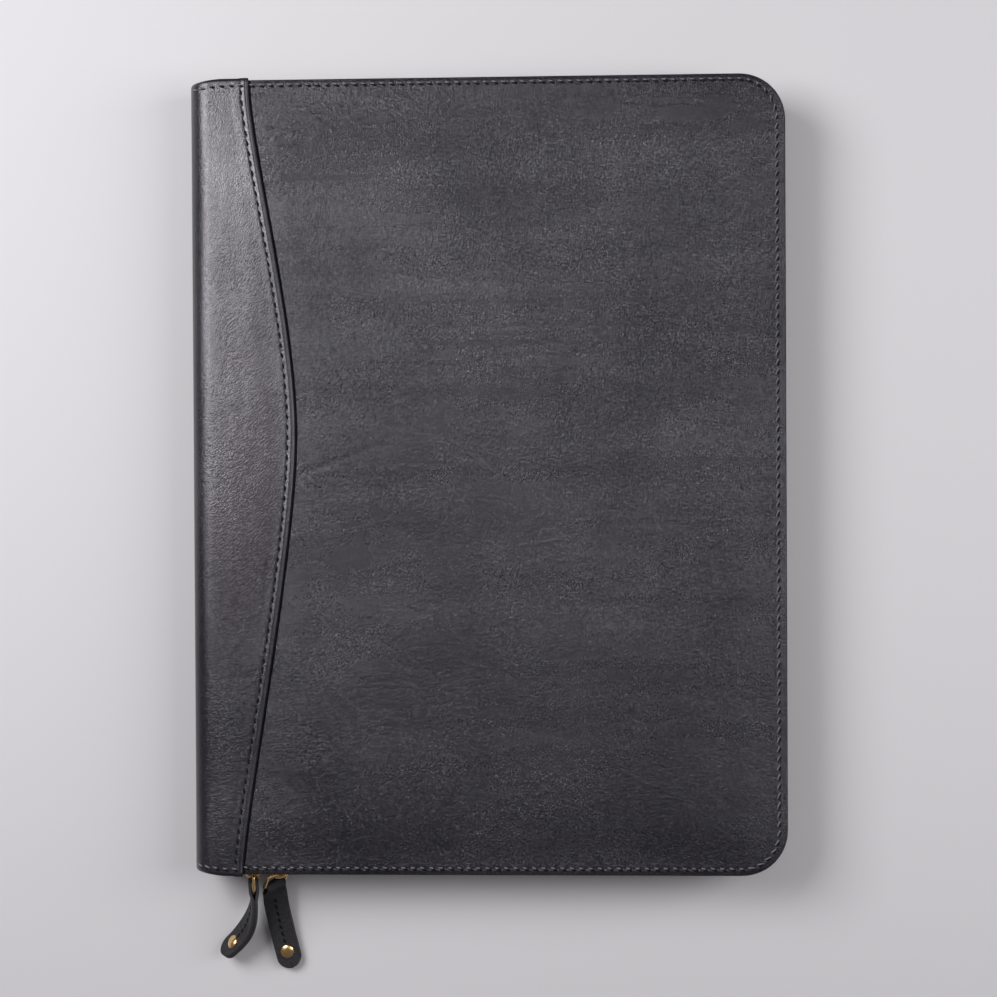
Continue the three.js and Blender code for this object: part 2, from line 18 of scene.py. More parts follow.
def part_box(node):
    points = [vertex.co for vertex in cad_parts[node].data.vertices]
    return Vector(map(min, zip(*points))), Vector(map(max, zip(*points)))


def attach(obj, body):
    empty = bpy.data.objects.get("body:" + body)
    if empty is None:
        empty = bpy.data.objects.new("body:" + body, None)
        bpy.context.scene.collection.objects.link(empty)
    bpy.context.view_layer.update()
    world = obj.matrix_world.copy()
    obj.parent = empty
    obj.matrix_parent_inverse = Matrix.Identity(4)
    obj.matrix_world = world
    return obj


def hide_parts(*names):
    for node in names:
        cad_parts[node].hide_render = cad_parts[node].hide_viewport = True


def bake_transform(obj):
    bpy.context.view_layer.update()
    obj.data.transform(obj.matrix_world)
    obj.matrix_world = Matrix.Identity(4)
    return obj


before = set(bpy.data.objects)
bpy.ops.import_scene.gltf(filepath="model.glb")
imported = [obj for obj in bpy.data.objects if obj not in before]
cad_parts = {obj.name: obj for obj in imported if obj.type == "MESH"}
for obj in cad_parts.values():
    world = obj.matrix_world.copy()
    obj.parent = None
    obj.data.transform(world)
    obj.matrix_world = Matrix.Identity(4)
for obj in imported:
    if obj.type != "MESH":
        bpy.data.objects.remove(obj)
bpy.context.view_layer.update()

# %% [markdown]
# ## Sizes read from the frame
#
# Lengths are in metres. Wherever a solid of the frame knows a size, it is read from there, so the looks
# follow the construction. A helper named `mm` keeps small numbers readable.

# %% Read the main places
def mm(value):
    return value * 0.001


spine_low, spine_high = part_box("spine_leather")
panel_low, panel_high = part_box("front_leather")
flap_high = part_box("front_flap")[1]
back_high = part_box("back_leather")[1]
fold_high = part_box("front_fold")[1]

SPINE_X = spine_low.x
FORE_X = panel_high.x
HALF_Y = spine_high.y
TOP_Z = flap_high.z
PANEL_Z = panel_high.z
EDGE_Z = panel_low.z
BACK_EDGE_Z = back_high.z
FOLD_X = fold_high.x
SHOULDER = FOLD_X - SPINE_X
MID_Z = TOP_Z / 2
print("panel top", PANEL_Z, "edge underside", EDGE_Z, "shoulder", round(SHOULDER, 5))

# %% [markdown]
# ## Camera
#
# The cover is seen from straight above, from about nine tenths of a metre. The outline is a little wider at
# the fore edge than at the spine, so the camera stands slightly to the right of the middle and turns by a
# few degrees. Those small angles came from laying the four edges of the real size on the picture's edges.

# %% Camera above the cover
CAMERA_HEIGHT = 0.9
CAMERA_PLACE = (mm(43.6), mm(-0.1), CAMERA_HEIGHT)
CAMERA_TURN = (-0.614, 2.537, -0.308)
CAMERA_LENS = 74.02

camera_data = bpy.data.cameras.new("camera")
camera_data.lens = CAMERA_LENS
camera_data.sensor_width = 36
camera = bpy.data.objects.new("camera", camera_data)
camera.location = CAMERA_PLACE
camera.rotation_euler = [math.radians(angle) for angle in CAMERA_TURN]
bpy.context.scene.collection.objects.link(camera)
bpy.context.scene.camera = camera

# %% [markdown]
# ## Helpers for modelling
#
# Operators act on everything that is selected, so each new piece starts from nothing selected. A finished
# piece keeps its place in its mesh and its object at the origin. `sheet_from_points` turns a grid of points
# into a leather sheet: that suits folded leather, whose shape is one cross-section carried along an edge.

# %% Modelling helpers
def nothing_selected():
    if bpy.context.object and bpy.context.object.mode != "OBJECT":
        bpy.ops.object.mode_set(mode="OBJECT")
    bpy.ops.object.select_all(action="DESELECT")


def take(name):
    piece = bpy.context.object
    piece.name = name
    piece.data.name = name
    return piece


def activate(piece):
    nothing_selected()
    piece.select_set(True)
    bpy.context.view_layer.objects.active = piece


def apply_place(piece):
    activate(piece)
    bpy.ops.object.transform_apply(location=True, rotation=True, scale=True)


def add_modifier(piece, kind, **settings):
    activate(piece)
    modifier = piece.modifiers.new(kind.lower(), kind)
    for key, value in settings.items():
        setattr(modifier, key, value)
    bpy.ops.object.modifier_apply(modifier=modifier.name)


def smooth(piece, angle=40):
    activate(piece)
    bpy.ops.object.shade_smooth_by_angle(angle=math.radians(angle))


def join(name, parts):
    nothing_selected()
    for part in parts:
        part.select_set(True)
    bpy.context.view_layer.objects.active = parts[0]
    if len(parts) > 1:
        bpy.ops.object.join()
    return take(name)


def object_from(name, vertices, faces):
    mesh = bpy.data.meshes.new(name)
    mesh.from_pydata([tuple(v) for v in vertices], [], [tuple(f) for f in faces])
    piece = bpy.data.objects.new(name, mesh)
    bpy.context.scene.collection.objects.link(piece)
    return piece


def clean_normals(piece, merge=1e-6):
    activate(piece)
    bpy.ops.object.mode_set(mode="EDIT")
    bpy.ops.mesh.select_all(action="SELECT")
    bpy.ops.mesh.remove_doubles(threshold=merge)
    bpy.ops.mesh.normals_make_consistent(inside=False)
    bpy.ops.object.mode_set(mode="OBJECT")


def turn_faces(piece):
    activate(piece)
    bpy.ops.object.mode_set(mode="EDIT")
    bpy.ops.mesh.select_all(action="SELECT")
    bpy.ops.mesh.flip_normals()
    bpy.ops.object.mode_set(mode="OBJECT")


def sheet_from_points(name, points, loop=False, flip=False):
    rows, columns = points.shape[:2]
    across = columns if loop else columns - 1
    faces = []
    for i in range(rows - 1):
        for j in range(across):
            k = (j + 1) % columns
            face = (i * columns + j, (i + 1) * columns + j, (i + 1) * columns + k, i * columns + k)
            faces.append(face[::-1] if flip else face)
    return object_from(name, points.reshape(-1, 3), faces)


def paint(piece, material):
    piece.data.materials.clear()
    piece.data.materials.append(material)


def mark_matt_and_shade(piece, edge_matt_and_shade):
    """Keeps on the mesh how much gloss each point loses, worked out from its place: painted shade in the hem's
    fold, nose and valley, and a darker matt strip at the outline and the turned ends.
    """
    places = np.empty(3 * len(piece.data.vertices))
    piece.data.vertices.foreach_get("co", places)
    values = np.clip(edge_matt_and_shade(*places.reshape(-1, 3).T), 0, 1)
    kept = piece.data.attributes.new("edge_matt_and_shade", "FLOAT", "POINT")
    kept.data.foreach_set("value", values.astype(np.float32))


def ease(x, low, high):
    t = np.clip((np.asarray(x, float) - low) / (high - low), 0, 1)
    return t * t * (3 - 2 * t)


def bump_at(x, centre, width):
    return np.exp(-(((np.asarray(x, float) - centre) / width) ** 2))


# %% [markdown]
# ## Shader groups
#
# Effects that several finishes share are built once as node groups. Each group puts out masks and heights
# only; the shader itself stays in each material, where its plain numbers can be exported.
#
# Leather needs three of them: the pebble grain of the hide, the long creases that show where a hide was
# stretched, and the soft clouding of the dye. Thread has a twist, brass has fine rubbing marks.

# %% Node helpers
def new_group(name, inputs, outputs):
    tree = bpy.data.node_groups.new(name, "ShaderNodeTree")
    for label, kind, value in inputs:
        socket = tree.interface.new_socket(label, in_out="INPUT", socket_type=kind)
        if value is not None:
            socket.default_value = value
    for label in outputs:
        tree.interface.new_socket(label, in_out="OUTPUT", socket_type="NodeSocketFloat")
    return tree, tree.nodes.new("NodeGroupInput"), tree.nodes.new("NodeGroupOutput")


def connect(tree, out_socket, in_socket):
    tree.links.new(out_socket, in_socket)


def math_node(tree, operation, first, second=None, third=None, clamp=False):
    made = tree.nodes.new("ShaderNodeMath")
    made.operation = operation
    made.use_clamp = clamp
    for index, value in enumerate((first, second, third)):
        if value is None:
            continue
        if isinstance(value, (int, float)):
            made.inputs[index].default_value = value
        else:
            tree.links.new(value, made.inputs[index])
    return made.outputs[0]


def noise(tree, vector, scale, detail=2.0, roughness=0.5, distortion=0.0):
    made = tree.nodes.new("ShaderNodeTexNoise")
    made.inputs["Scale"].default_value = scale
    made.inputs["Detail"].default_value = detail
    made.inputs["Roughness"].default_value = roughness
    made.inputs["Distortion"].default_value = distortion
    tree.links.new(vector, made.inputs["Vector"])
    return made.outputs[0]


def stretched(tree, vector, scale, turn=(0, 0, 0), place=(0, 0, 0)):
    made = tree.nodes.new("ShaderNodeMapping")
    made.inputs["Scale"].default_value = scale
    made.inputs["Rotation"].default_value = turn
    made.inputs["Location"].default_value = place
    tree.links.new(vector, made.inputs["Vector"])
    return made.outputs[0]


def remap(tree, value, low, high, to_low=0.0, to_high=1.0):
    made = tree.nodes.new("ShaderNodeMapRange")
    made.inputs["From Min"].default_value = low
    made.inputs["From Max"].default_value = high
    made.inputs["To Min"].default_value = to_low
    made.inputs["To Max"].default_value = to_high
    tree.links.new(value, made.inputs["Value"])
    return made.outputs[0]


# %% Pebble grain of the hide
def build_grain_group():
    tree, given, result = new_group(
        "hide_grain",
        [("Vector", "NodeSocketVector", None), ("Pebble", "NodeSocketFloat", 1100.0)],
        ["Height", "Cloud", "Pore", "Fleck"],
    )
    vector = given.outputs["Vector"]
    cells = tree.nodes.new("ShaderNodeTexVoronoi")
    cells.feature = "DISTANCE_TO_EDGE"
    cells.inputs["Randomness"].default_value = 1.0
    wobble = noise(tree, vector, 1300, 2)
    offset = math_node(tree, "MULTIPLY", wobble, 0.0006)
    moved = tree.nodes.new("ShaderNodeVectorMath")
    moved.operation = "ADD"
    connect(tree, vector, moved.inputs[0])
    connect(tree, offset, moved.inputs[1])
    connect(tree, moved.outputs[0], cells.inputs["Vector"])
    connect(tree, given.outputs["Pebble"], cells.inputs["Scale"])
    pebble = remap(tree, cells.outputs["Distance"], 0.0, 0.25)
    fine = noise(tree, vector, 900, 3, 0.6)
    wide = noise(tree, vector, 380, 2, 0.5)
    height = math_node(tree, "MULTIPLY_ADD", pebble, 0.3, math_node(tree, "MULTIPLY", fine, 0.9))
    height = math_node(tree, "MULTIPLY_ADD", wide, 0.6, height)
    connect(tree, height, result.inputs["Height"])
    fleck = remap(tree, noise(tree, vector, 1150, 4, 0.75), 0.22, 0.78)
    connect(tree, fleck, result.inputs["Fleck"])
    cloud = noise(tree, vector, 22, 4, 0.6)
    connect(tree, cloud, result.inputs["Cloud"])
    pore = remap(tree, noise(tree, vector, 900, 2, 0.7), 0.62, 0.8)
    connect(tree, pore, result.inputs["Pore"])
    return tree


# %% [markdown]
# Stretch creases are long and thin, and run across the hide. A noise that is squeezed hard in one direction
# and bent by a slow noise gives such lines, and a mask keeps them to the places where the hide has them.

# %% Stretch creases
def build_crease_group():
    tree, given, result = new_group(
        "stretch_creases",
        [("Vector", "NodeSocketVector", None), ("Turn", "NodeSocketFloat", 0.0)],
        ["Height"],
    )
    vector = given.outputs["Vector"]
    bend = noise(tree, vector, 9, 2)
    centred = math_node(tree, "SUBTRACT", bend, 0.5)
    spin = math_node(tree, "MULTIPLY_ADD", centred, 0.35, given.outputs["Turn"])
    rotate = tree.nodes.new("ShaderNodeVectorRotate")
    rotate.rotation_type = "Z_AXIS"
    connect(tree, vector, rotate.inputs["Vector"])
    connect(tree, spin, rotate.inputs["Angle"])
    long_lines = noise(tree, stretched(tree, rotate.outputs[0], (16, 190, 60)), 1.0, 3, 0.6)
    valley = math_node(tree, "ABSOLUTE", math_node(tree, "SUBTRACT", long_lines, 0.5))
    line = remap(tree, valley, 0.0, 0.05)
    short_lines = noise(tree, stretched(tree, rotate.outputs[0], (45, 520, 90)), 1.0, 2, 0.5)
    height = math_node(tree, "MULTIPLY_ADD", short_lines, 0.4, line)
    connect(tree, height, result.inputs["Height"])
    return tree


# %% Twist of thread, rubbing marks of metal
def build_twist_group():
    tree, given, result = new_group(
        "twist", [("Vector", "NodeSocketVector", None), ("Pitch", "NodeSocketFloat", 900.0)], ["Height"]
    )
    wave = tree.nodes.new("ShaderNodeTexWave")
    wave.bands_direction = "DIAGONAL"
    wave.inputs["Distortion"].default_value = 1.5
    connect(tree, given.outputs["Vector"], wave.inputs["Vector"])
    connect(tree, given.outputs["Pitch"], wave.inputs["Scale"])
    connect(tree, wave.outputs["Fac"], result.inputs["Height"])
    return tree


def build_rub_group():
    tree, given, result = new_group(
        "rub_marks", [("Vector", "NodeSocketVector", None)], ["Marks", "Tarnish"]
    )
    vector = given.outputs["Vector"]
    marks = noise(tree, stretched(tree, vector, (5200, 900, 2400), (0.3, 0.5, 0.4)), 1.0, 2, 0.6)
    connect(tree, marks, result.inputs["Marks"])
    connect(tree, noise(tree, vector, 260, 4, 0.65), result.inputs["Tarnish"])
    return tree


HIDE_GRAIN = build_grain_group()
STRETCH_CREASES = build_crease_group()
THREAD_TWIST = build_twist_group()
RUB_MARKS = build_rub_group()
print("shader groups:", [group.name for group in bpy.data.node_groups])

# %% [markdown]
# ## Finishes
#
# The cover is black calf leather with a satin face: dark, faintly violet in bright light, with broad soft
# reflections. Its roughness varies with the grain, and its height comes from the grain and the creases.

# %% Start a material
def new_material(name, colour, roughness, metallic=0.0):
    material = bpy.data.materials.new(name)
    material.use_nodes = True
    tree = material.node_tree
    shader = tree.nodes["Principled BSDF"]
    shader.inputs["Base Color"].default_value = (*colour, 1)
    shader.inputs["Roughness"].default_value = roughness
    shader.inputs["Metallic"].default_value = metallic
    place = tree.nodes.new("ShaderNodeTexCoord")
    return material, tree, shader, place.outputs["Object"]


def use_group(tree, group, vector=None, **values):
    made = tree.nodes.new("ShaderNodeGroup")
    made.node_tree = group
    if vector is not None:
        connect(tree, vector, made.inputs["Vector"])
    for key, value in values.items():
        made.inputs[key].default_value = value
    return made.outputs


def mix_colour(tree, factor, first, second):
    made = tree.nodes.new("ShaderNodeMix")
    made.data_type = "RGBA"
    connect(tree, factor, made.inputs["Factor"])
    for label, value in (("A", first), ("B", second)):
        socket = next(s for s in made.inputs if s.name == label and s.type == "RGBA")
        if isinstance(value, tuple):
            socket.default_value = (*value, 1)
        else:
            connect(tree, value, socket)
    return next(s for s in made.outputs if s.type == "RGBA")


def bump(tree, shader, height, distance, strength=1.0):
    made = tree.nodes.new("ShaderNodeBump")
    made.inputs["Strength"].default_value = strength
    made.inputs["Distance"].default_value = distance
    connect(tree, height, made.inputs["Height"])
    connect(tree, made.outputs[0], shader.inputs["Normal"])


# %% Cover leather
LEATHER_DARK = (0.001, 0.001, 0.0015)
LEATHER_LIGHT = (0.022, 0.0205, 0.0275)


HEM_CREASE = (mm(-82), mm(0.8), 0.34)


def hem_crease(tree, axes):
    """One deep crease runs up and away from the crest of the hem."""
    start_x, start_y, rise = HEM_CREASE
    from_x = math_node(tree, "SUBTRACT", axes.outputs["X"], start_x)
    from_y = math_node(tree, "SUBTRACT", axes.outputs["Y"], start_y)
    off = math_node(tree, "SUBTRACT", from_y, math_node(tree, "MULTIPLY", from_x, rise))
    near = math_node(tree, "DIVIDE", off, mm(1.7))
    squared = math_node(tree, "MULTIPLY", near, near)
    valley = math_node(tree, "EXPONENT", math_node(tree, "MULTIPLY", squared, -1.0))
    begins = remap(tree, from_x, mm(-3), mm(6))
    along = math_node(tree, "MULTIPLY", begins, remap(tree, from_x, mm(46), mm(14)))
    return math_node(tree, "MULTIPLY", math_node(tree, "MULTIPLY", valley, along), 0.85)


def pulled_bands(tree, place, axes):
    """Soft bands where the hide is pulled over the board: across the upper half and along the fore edge."""
    across = noise(tree, stretched(tree, place, (9, 105, 9)), 1.0, 3, 0.55)
    upright = noise(tree, stretched(tree, place, (120, 10, 9)), 1.0, 3, 0.5)
    upper = remap(tree, axes.outputs["Y"], mm(-40), mm(90), 0.15, 1.0)
    fore = remap(tree, axes.outputs["X"], mm(50), mm(95))
    bands = math_node(tree, "MULTIPLY", math_node(tree, "MULTIPLY", across, upper), 0.95)
    return math_node(tree, "MULTIPLY_ADD", math_node(tree, "MULTIPLY", upright, fore), 0.8, bands)


def stretch_lines(tree, place, axes):
    """Thin wrinkles run from side to side in the upper half, where a slow noise crosses its middle."""
    slow = noise(tree, stretched(tree, place, (5, 70, 5), (0, 0, 0.04)), 1.0, 1, 0.4)
    off = math_node(tree, "ABSOLUTE", math_node(tree, "SUBTRACT", slow, 0.5))
    line = remap(tree, off, 0.05, 0.0)
    lasting = remap(tree, noise(tree, place, 17, 2), 0.42, 0.6)
    upper = remap(tree, axes.outputs["Y"], mm(-50), mm(40), 0.12, 1.0)
    return math_node(tree, "MULTIPLY", math_node(tree, "MULTIPLY", line, lasting), upper)


def build_cover_leather(name, crease_turn, crease_depth, dark=LEATHER_DARK, light=LEATHER_LIGHT,
                        roughness=(0.21, 0.31), pebble=1150.0, deep_crease=False, shine=0.7, relief=mm(0.17),
                        fleck=0.6):
    material, tree, shader, place = new_material(name, light, roughness[0])
    # Painted shade: the mesh's mark takes gloss away and adds roughness, so the hem's fold, nose and valley go
    # dark as if shaded; the outline and the ends get the same darker matt strip.
    edge_matt_and_shade = tree.nodes.new("ShaderNodeAttribute")
    edge_matt_and_shade.attribute_name = "edge_matt_and_shade"
    matt_and_shade = edge_matt_and_shade.outputs["Fac"]
    grain = use_group(tree, HIDE_GRAIN, place, Pebble=pebble)
    creases = use_group(tree, STRETCH_CREASES, place, Turn=crease_turn)
    shade = remap(tree, grain["Cloud"], 0.3, 0.7)
    shade = math_node(tree, "MULTIPLY_ADD", shade, 0.35, math_node(tree, "MULTIPLY", grain["Fleck"], 0.65))
    colour = mix_colour(tree, shade, dark, light)
    gloss = math_node(tree, "MULTIPLY_ADD", grain["Fleck"], fleck * shine, (1 - fleck / 2) * shine)
    gloss = math_node(tree, "MULTIPLY", gloss, math_node(tree, "MULTIPLY_ADD", matt_and_shade, -0.85, 1.0))
    gloss = math_node(tree, "MULTIPLY", gloss, remap(tree, grain["Cloud"], 0.3, 0.7, 0.84, 1.16))
    streak = noise(tree, stretched(tree, place, (7, 60, 7) if deep_crease else (60, 7, 7)), 1.0, 3, 0.6)
    gloss = math_node(tree, "MULTIPLY", gloss, remap(tree, streak, 0.3, 0.7, 0.82, 1.18))
    axes = tree.nodes.new("ShaderNodeSeparateXYZ")
    connect(tree, place, axes.inputs[0])
    if deep_crease:
        lines = stretch_lines(tree, place, axes)
        gloss = math_node(tree, "MULTIPLY", gloss, math_node(tree, "MULTIPLY_ADD", lines, -0.13, 1.0))
    connect(tree, gloss, shader.inputs["Specular IOR Level"])
    colour = mix_colour(tree, math_node(tree, "MULTIPLY", grain["Pore"], 0.35), colour, (0.008, 0.008, 0.01))
    connect(tree, colour, shader.inputs["Base Color"])
    rough = remap(tree, grain["Height"], 0.3, 1.0, roughness[1], roughness[0])
    connect(tree, math_node(tree, "MULTIPLY_ADD", matt_and_shade, 0.2, rough), shader.inputs["Roughness"])
    where = remap(tree, noise(tree, place, 14, 2), 0.3, 0.75)
    upper = remap(tree, axes.outputs["Y"], mm(-60), mm(110), 0.25, 1.0)
    crease = math_node(tree, "MULTIPLY", math_node(tree, "MULTIPLY", creases["Height"], where), upper)
    height = math_node(tree, "MULTIPLY_ADD", crease, crease_depth, grain["Height"])
    if deep_crease:
        height = math_node(tree, "SUBTRACT", height, hem_crease(tree, axes))
        height = math_node(tree, "ADD", height, pulled_bands(tree, place, axes))
        height = math_node(tree, "MULTIPLY_ADD", lines, -0.16, height)
    bump(tree, shader, height, relief)
    return material


cover_leather = build_cover_leather("cover_leather", 0.06, 0.16, deep_crease=True, shine=0.49, relief=mm(0.24),
                                    fleck=1.3)
spine_leather = build_cover_leather("spine_leather", 1.45, 0.12, shine=0.74, relief=mm(0.13), fleck=0.6)
strap_leather = build_cover_leather("strap_leather", 1.2, 0.9, (0.001, 0.001, 0.002), (0.034, 0.033, 0.037),
                                    (0.42, 0.62), 1300.0, shine=0.3, relief=mm(0.32), fleck=1.0)
lining_leather = build_cover_leather("lining_leather", 0.4, 0.3, (0.012, 0.012, 0.014), (0.022, 0.022, 0.025),
                                     (0.5, 0.62), 1700.0)


# %% [markdown]
# A cut strap edge shows the fibres of the hide: matt, nearly black, and streaked along the layers.

# %% Cut leather edge
def build_cut_edge():
    material, tree, shader, place = new_material("cut_edge", (0.012, 0.011, 0.012), 0.8)
    fibres = noise(tree, stretched(tree, place, (900, 500, 4200)), 1.0, 4, 0.7)
    connect(tree, mix_colour(tree, fibres, (0.006, 0.006, 0.007), (0.035, 0.032, 0.034)),
            shader.inputs["Base Color"])
    bump(tree, shader, fibres, mm(0.12))
    return material


cut_edge = build_cut_edge()


# %% Thread, tape and board
def build_thread(name, dark, light, roughness, shine):
    material, tree, shader, place = new_material(name, dark, roughness)
    shader.inputs["Specular IOR Level"].default_value = shine
    twist = use_group(tree, THREAD_TWIST, place, Pitch=1400.0)
    connect(tree, mix_colour(tree, twist["Height"], dark, light),
            shader.inputs["Base Color"])
    bump(tree, shader, twist["Height"], mm(0.08))
    return material


# Painted light: all seams are one black waxed thread, in two copies. The lighter copy on the edge seams has a
# painted highlight in its colour; the darker copy on the hem and strap seams has painted shade.
lit_thread = build_thread("lit_thread", (0.06, 0.058, 0.065), (0.2, 0.196, 0.21), 0.28, 0.9)
shaded_thread = build_thread("shaded_thread", (0.002, 0.002, 0.003), (0.008, 0.008, 0.01), 0.6, 0.12)


def build_hole_and_shadow():
    """A dark mark round each stitch: the needle's hole, with the stitch's painted shadow."""
    material, tree, shader, place = new_material("hole_and_shadow", (0.004, 0.004, 0.005), 0.75)
    shader.inputs["Specular IOR Level"].default_value = 0.15
    mottle = noise(tree, place, 1800, 2, 0.6)
    connect(tree, mix_colour(tree, mottle, (0.002, 0.002, 0.0025), (0.008, 0.0075, 0.009)),
            shader.inputs["Base Color"])
    return material


hole_and_shadow = build_hole_and_shadow()


def build_zip_tape():
    material, tree, shader, _ = new_material("zip_tape", (0.012, 0.012, 0.014), 0.85)
    shader.inputs["Sheen Weight"].default_value = 0.25
    shader.inputs["Sheen Roughness"].default_value = 0.5
    weave_place = tree.nodes.new("ShaderNodeUVMap")
    weave_place.uv_map = "weave"
    along = tree.nodes.new("ShaderNodeTexWave")
    along.bands_direction = "DIAGONAL"
    along.inputs["Scale"].default_value = 420.0
    along.inputs["Distortion"].default_value = 0.6
    across = tree.nodes.new("ShaderNodeTexWave")
    across.bands_direction = "Y"
    across.inputs["Scale"].default_value = 560.0
    for wave in (along, across):
        connect(tree, weave_place.outputs[0], wave.inputs["Vector"])
    weave = math_node(tree, "MULTIPLY", along.outputs["Fac"], across.outputs["Fac"])
    connect(tree, mix_colour(tree, weave, (0.006, 0.006, 0.007), (0.03, 0.03, 0.034)),
            shader.inputs["Base Color"])
    bump(tree, shader, weave, mm(0.15))
    return material


zip_tape = build_zip_tape()


def build_board():
    """Millboard dyed black, so that its edges are quiet beside the open spine."""
    material, tree, shader, place = new_material("grey_board", (0.03, 0.028, 0.026), 0.9)
    flecks = noise(tree, place, 900, 5, 0.75)
    shade = mix_colour(tree, flecks, (0.018, 0.017, 0.016), (0.045, 0.042, 0.039))
    connect(tree, shade, shader.inputs["Base Color"])
    bump(tree, shader, flecks, mm(0.05))
    return material


grey_board = build_board()


# %% [markdown]
# The zip is antique brass: warm, with soft bright faces and a little brown tarnish in the hollows. The
# rivets and rings are the same metal, polished brighter.

# %% Brass
def build_brass(name, bright, dull, roughness):
    material, tree, shader, place = new_material(name, bright, roughness, 1.0)
    rub = use_group(tree, RUB_MARKS, place)
    tarnish = remap(tree, rub["Tarnish"], 0.45, 0.7)
    connect(tree, mix_colour(tree, tarnish, bright, dull), shader.inputs["Base Color"])
    base = math_node(tree, "MULTIPLY_ADD", tarnish, 0.18, roughness)
    connect(tree, math_node(tree, "MULTIPLY_ADD", rub["Marks"], 0.1, base), shader.inputs["Roughness"])
    bump(tree, shader, rub["Marks"], mm(0.004))
    return material


bright_brass = build_brass("bright_brass", (0.86, 0.60, 0.27), (0.62, 0.39, 0.15), 0.16)
zip_brass = build_brass("zip_brass", (0.62, 0.43, 0.19), (0.33, 0.21, 0.1), 0.28)
print("finishes:", sorted(material.name for material in bpy.data.materials))

# %% [markdown]
# ## Floor and light
#
# The cover lies on a plain pale surface. Two large soft boxes stand at its sides, the left one stronger and
# nearer the top edge. They put the broad sheen on the spine leather and a weaker one along the fore edge,
# and leave the middle of the panel dark. A faint sky of the same grey fills the rest.

# %% Floor
FLOOR_COLOUR = (0.58, 0.582, 0.575)

bpy.ops.mesh.primitive_plane_add(size=6.0, location=(0, 0, mm(-0.05)))
floor = take("floor")
floor_material = bpy.data.materials.new("floor")
floor_material.use_nodes = True
floor_shader = floor_material.node_tree.nodes["Principled BSDF"]
floor_shader.inputs["Base Color"].default_value = (*FLOOR_COLOUR, 1)
floor_shader.inputs["Roughness"].default_value = 0.9
floor_shader.inputs["Specular IOR Level"].default_value = 0.2
floor.data.materials.append(floor_material)


# %% Lamps and sky
def soft_box(name, place, aim, size, watts):
    data = bpy.data.lights.new(name, "AREA")
    data.shape = "RECTANGLE"
    data.size, data.size_y = size
    data.energy = watts
    data.color = (1.0, 0.97, 1.02)
    lamp = bpy.data.objects.new(name, data)
    lamp.location = place
    lamp.rotation_euler = (Vector(aim) - Vector(place)).to_track_quat("-Z", "Y").to_euler()
    bpy.context.scene.collection.objects.link(lamp)
    return lamp


soft_box("left_box", (-0.54, 0.30, 0.70), (-0.08, 0.07, 0), (0.48, 0.54), 7.9)
soft_box("right_box", (0.72, 0.10, 0.66), (0.05, 0, 0), (0.46, 0.90), 5.6)
soft_box("top_box", (0.10, 0.26, 1.30), (0, 0.06, 0), (1.30, 0.55), 0.95)

world = bpy.data.worlds.new("sky")
bpy.context.scene.world = world
world.use_nodes = True
world.node_tree.nodes["Background"].inputs["Color"].default_value = (1.0, 0.97, 1.04, 1)
world.node_tree.nodes["Background"].inputs["Strength"].default_value = 0.13

bpy.context.scene.view_settings.view_transform = "Standard"


# %% [markdown]
# The hem of the spine leather is a long curve: narrow at both ends and widest a little above the middle. It
# is drawn with two spans, from the top corner to the crest and from the crest to the bottom corner.

# %% Curve of the hem
def bezier(points, t):
    a, b, c, d = [np.array(p, float) for p in points]
    t = np.asarray(t, float)[:, None]
    return (1 - t) ** 3 * a + 3 * (1 - t) ** 2 * t * b + 3 * (1 - t) * t ** 2 * c + t ** 3 * d


HEM_CREST = (45.3, 19.4)
HEM_UPPER = [(26.3, 170.0), (24.4, 150.8), (45.3, 70.2), HEM_CREST]
HEM_LOWER = [HEM_CREST, (45.3, -32.6), (20.8, -149.3), (21.6, -170.0)]
HEM_LINE = np.vstack([bezier(HEM_UPPER, np.linspace(0, 1, 200)),
                      bezier(HEM_LOWER, np.linspace(0, 1, 200))[1:]])[::-1] * 0.001


def hem_x(y):
    return SPINE_X + np.interp(y, HEM_LINE[:, 1], HEM_LINE[:, 0])


def hem_slope(y):
    return (hem_x(np.asarray(y) + mm(1)) - hem_x(np.asarray(y) - mm(1))) / mm(2)


# %% [markdown]
# ## The padded panels
#
# Each cover has a leather panel over stiff board. At three sides the leather goes round the board's edge, is
# turned in and sewn through, so the edge is a soft roll with a stitch line sunk beside it. At the fourth side
# the panel runs flat under the spine leather. One cross-section, from the turned-in strip to the flat face,
# is carried round the outline. Inside the corners the lines close up and a plain grid fills the middle.

# %% Outline of a panel
PANEL_LEFT = mm(-117.6)
CORNER = mm(19.5)
LEATHER = mm(0.6)
STITCH_INSETS = (mm(3.0), mm(3.9), mm(2.5))
EDGE_WIDTH = mm(6.5)
EDGE_ROUND = mm(1.05)
BEAD_FALL = mm(0.3)


ACROSS, UP, ROUND = 84, 104, 14
HIDDEN_COLUMNS, CLOSE_COLUMNS = 10, 9
CLOSE_STEP = mm(0.26)


def column_x(column, y):
    """Columns follow the hem: some run under the spine leather, some close ones mark the dip beside it."""
    hem = hem_x(y)
    column = np.broadcast_to(column, np.shape(y)).astype(float)
    hidden = PANEL_LEFT + (hem - mm(0.5) - PANEL_LEFT) * column / HIDDEN_COLUMNS
    close = hem - mm(0.5) + CLOSE_STEP * (column - HIDDEN_COLUMNS)
    first = hem - mm(0.5) + CLOSE_STEP * CLOSE_COLUMNS
    share = (column - HIDDEN_COLUMNS - CLOSE_COLUMNS) / (ACROSS - HIDDEN_COLUMNS - CLOSE_COLUMNS)
    shown = first + (FORE_X - CORNER - first) * share
    beside = np.where(column < HIDDEN_COLUMNS + CLOSE_COLUMNS, close, shown)
    return np.where(column <= HIDDEN_COLUMNS, hidden, beside)


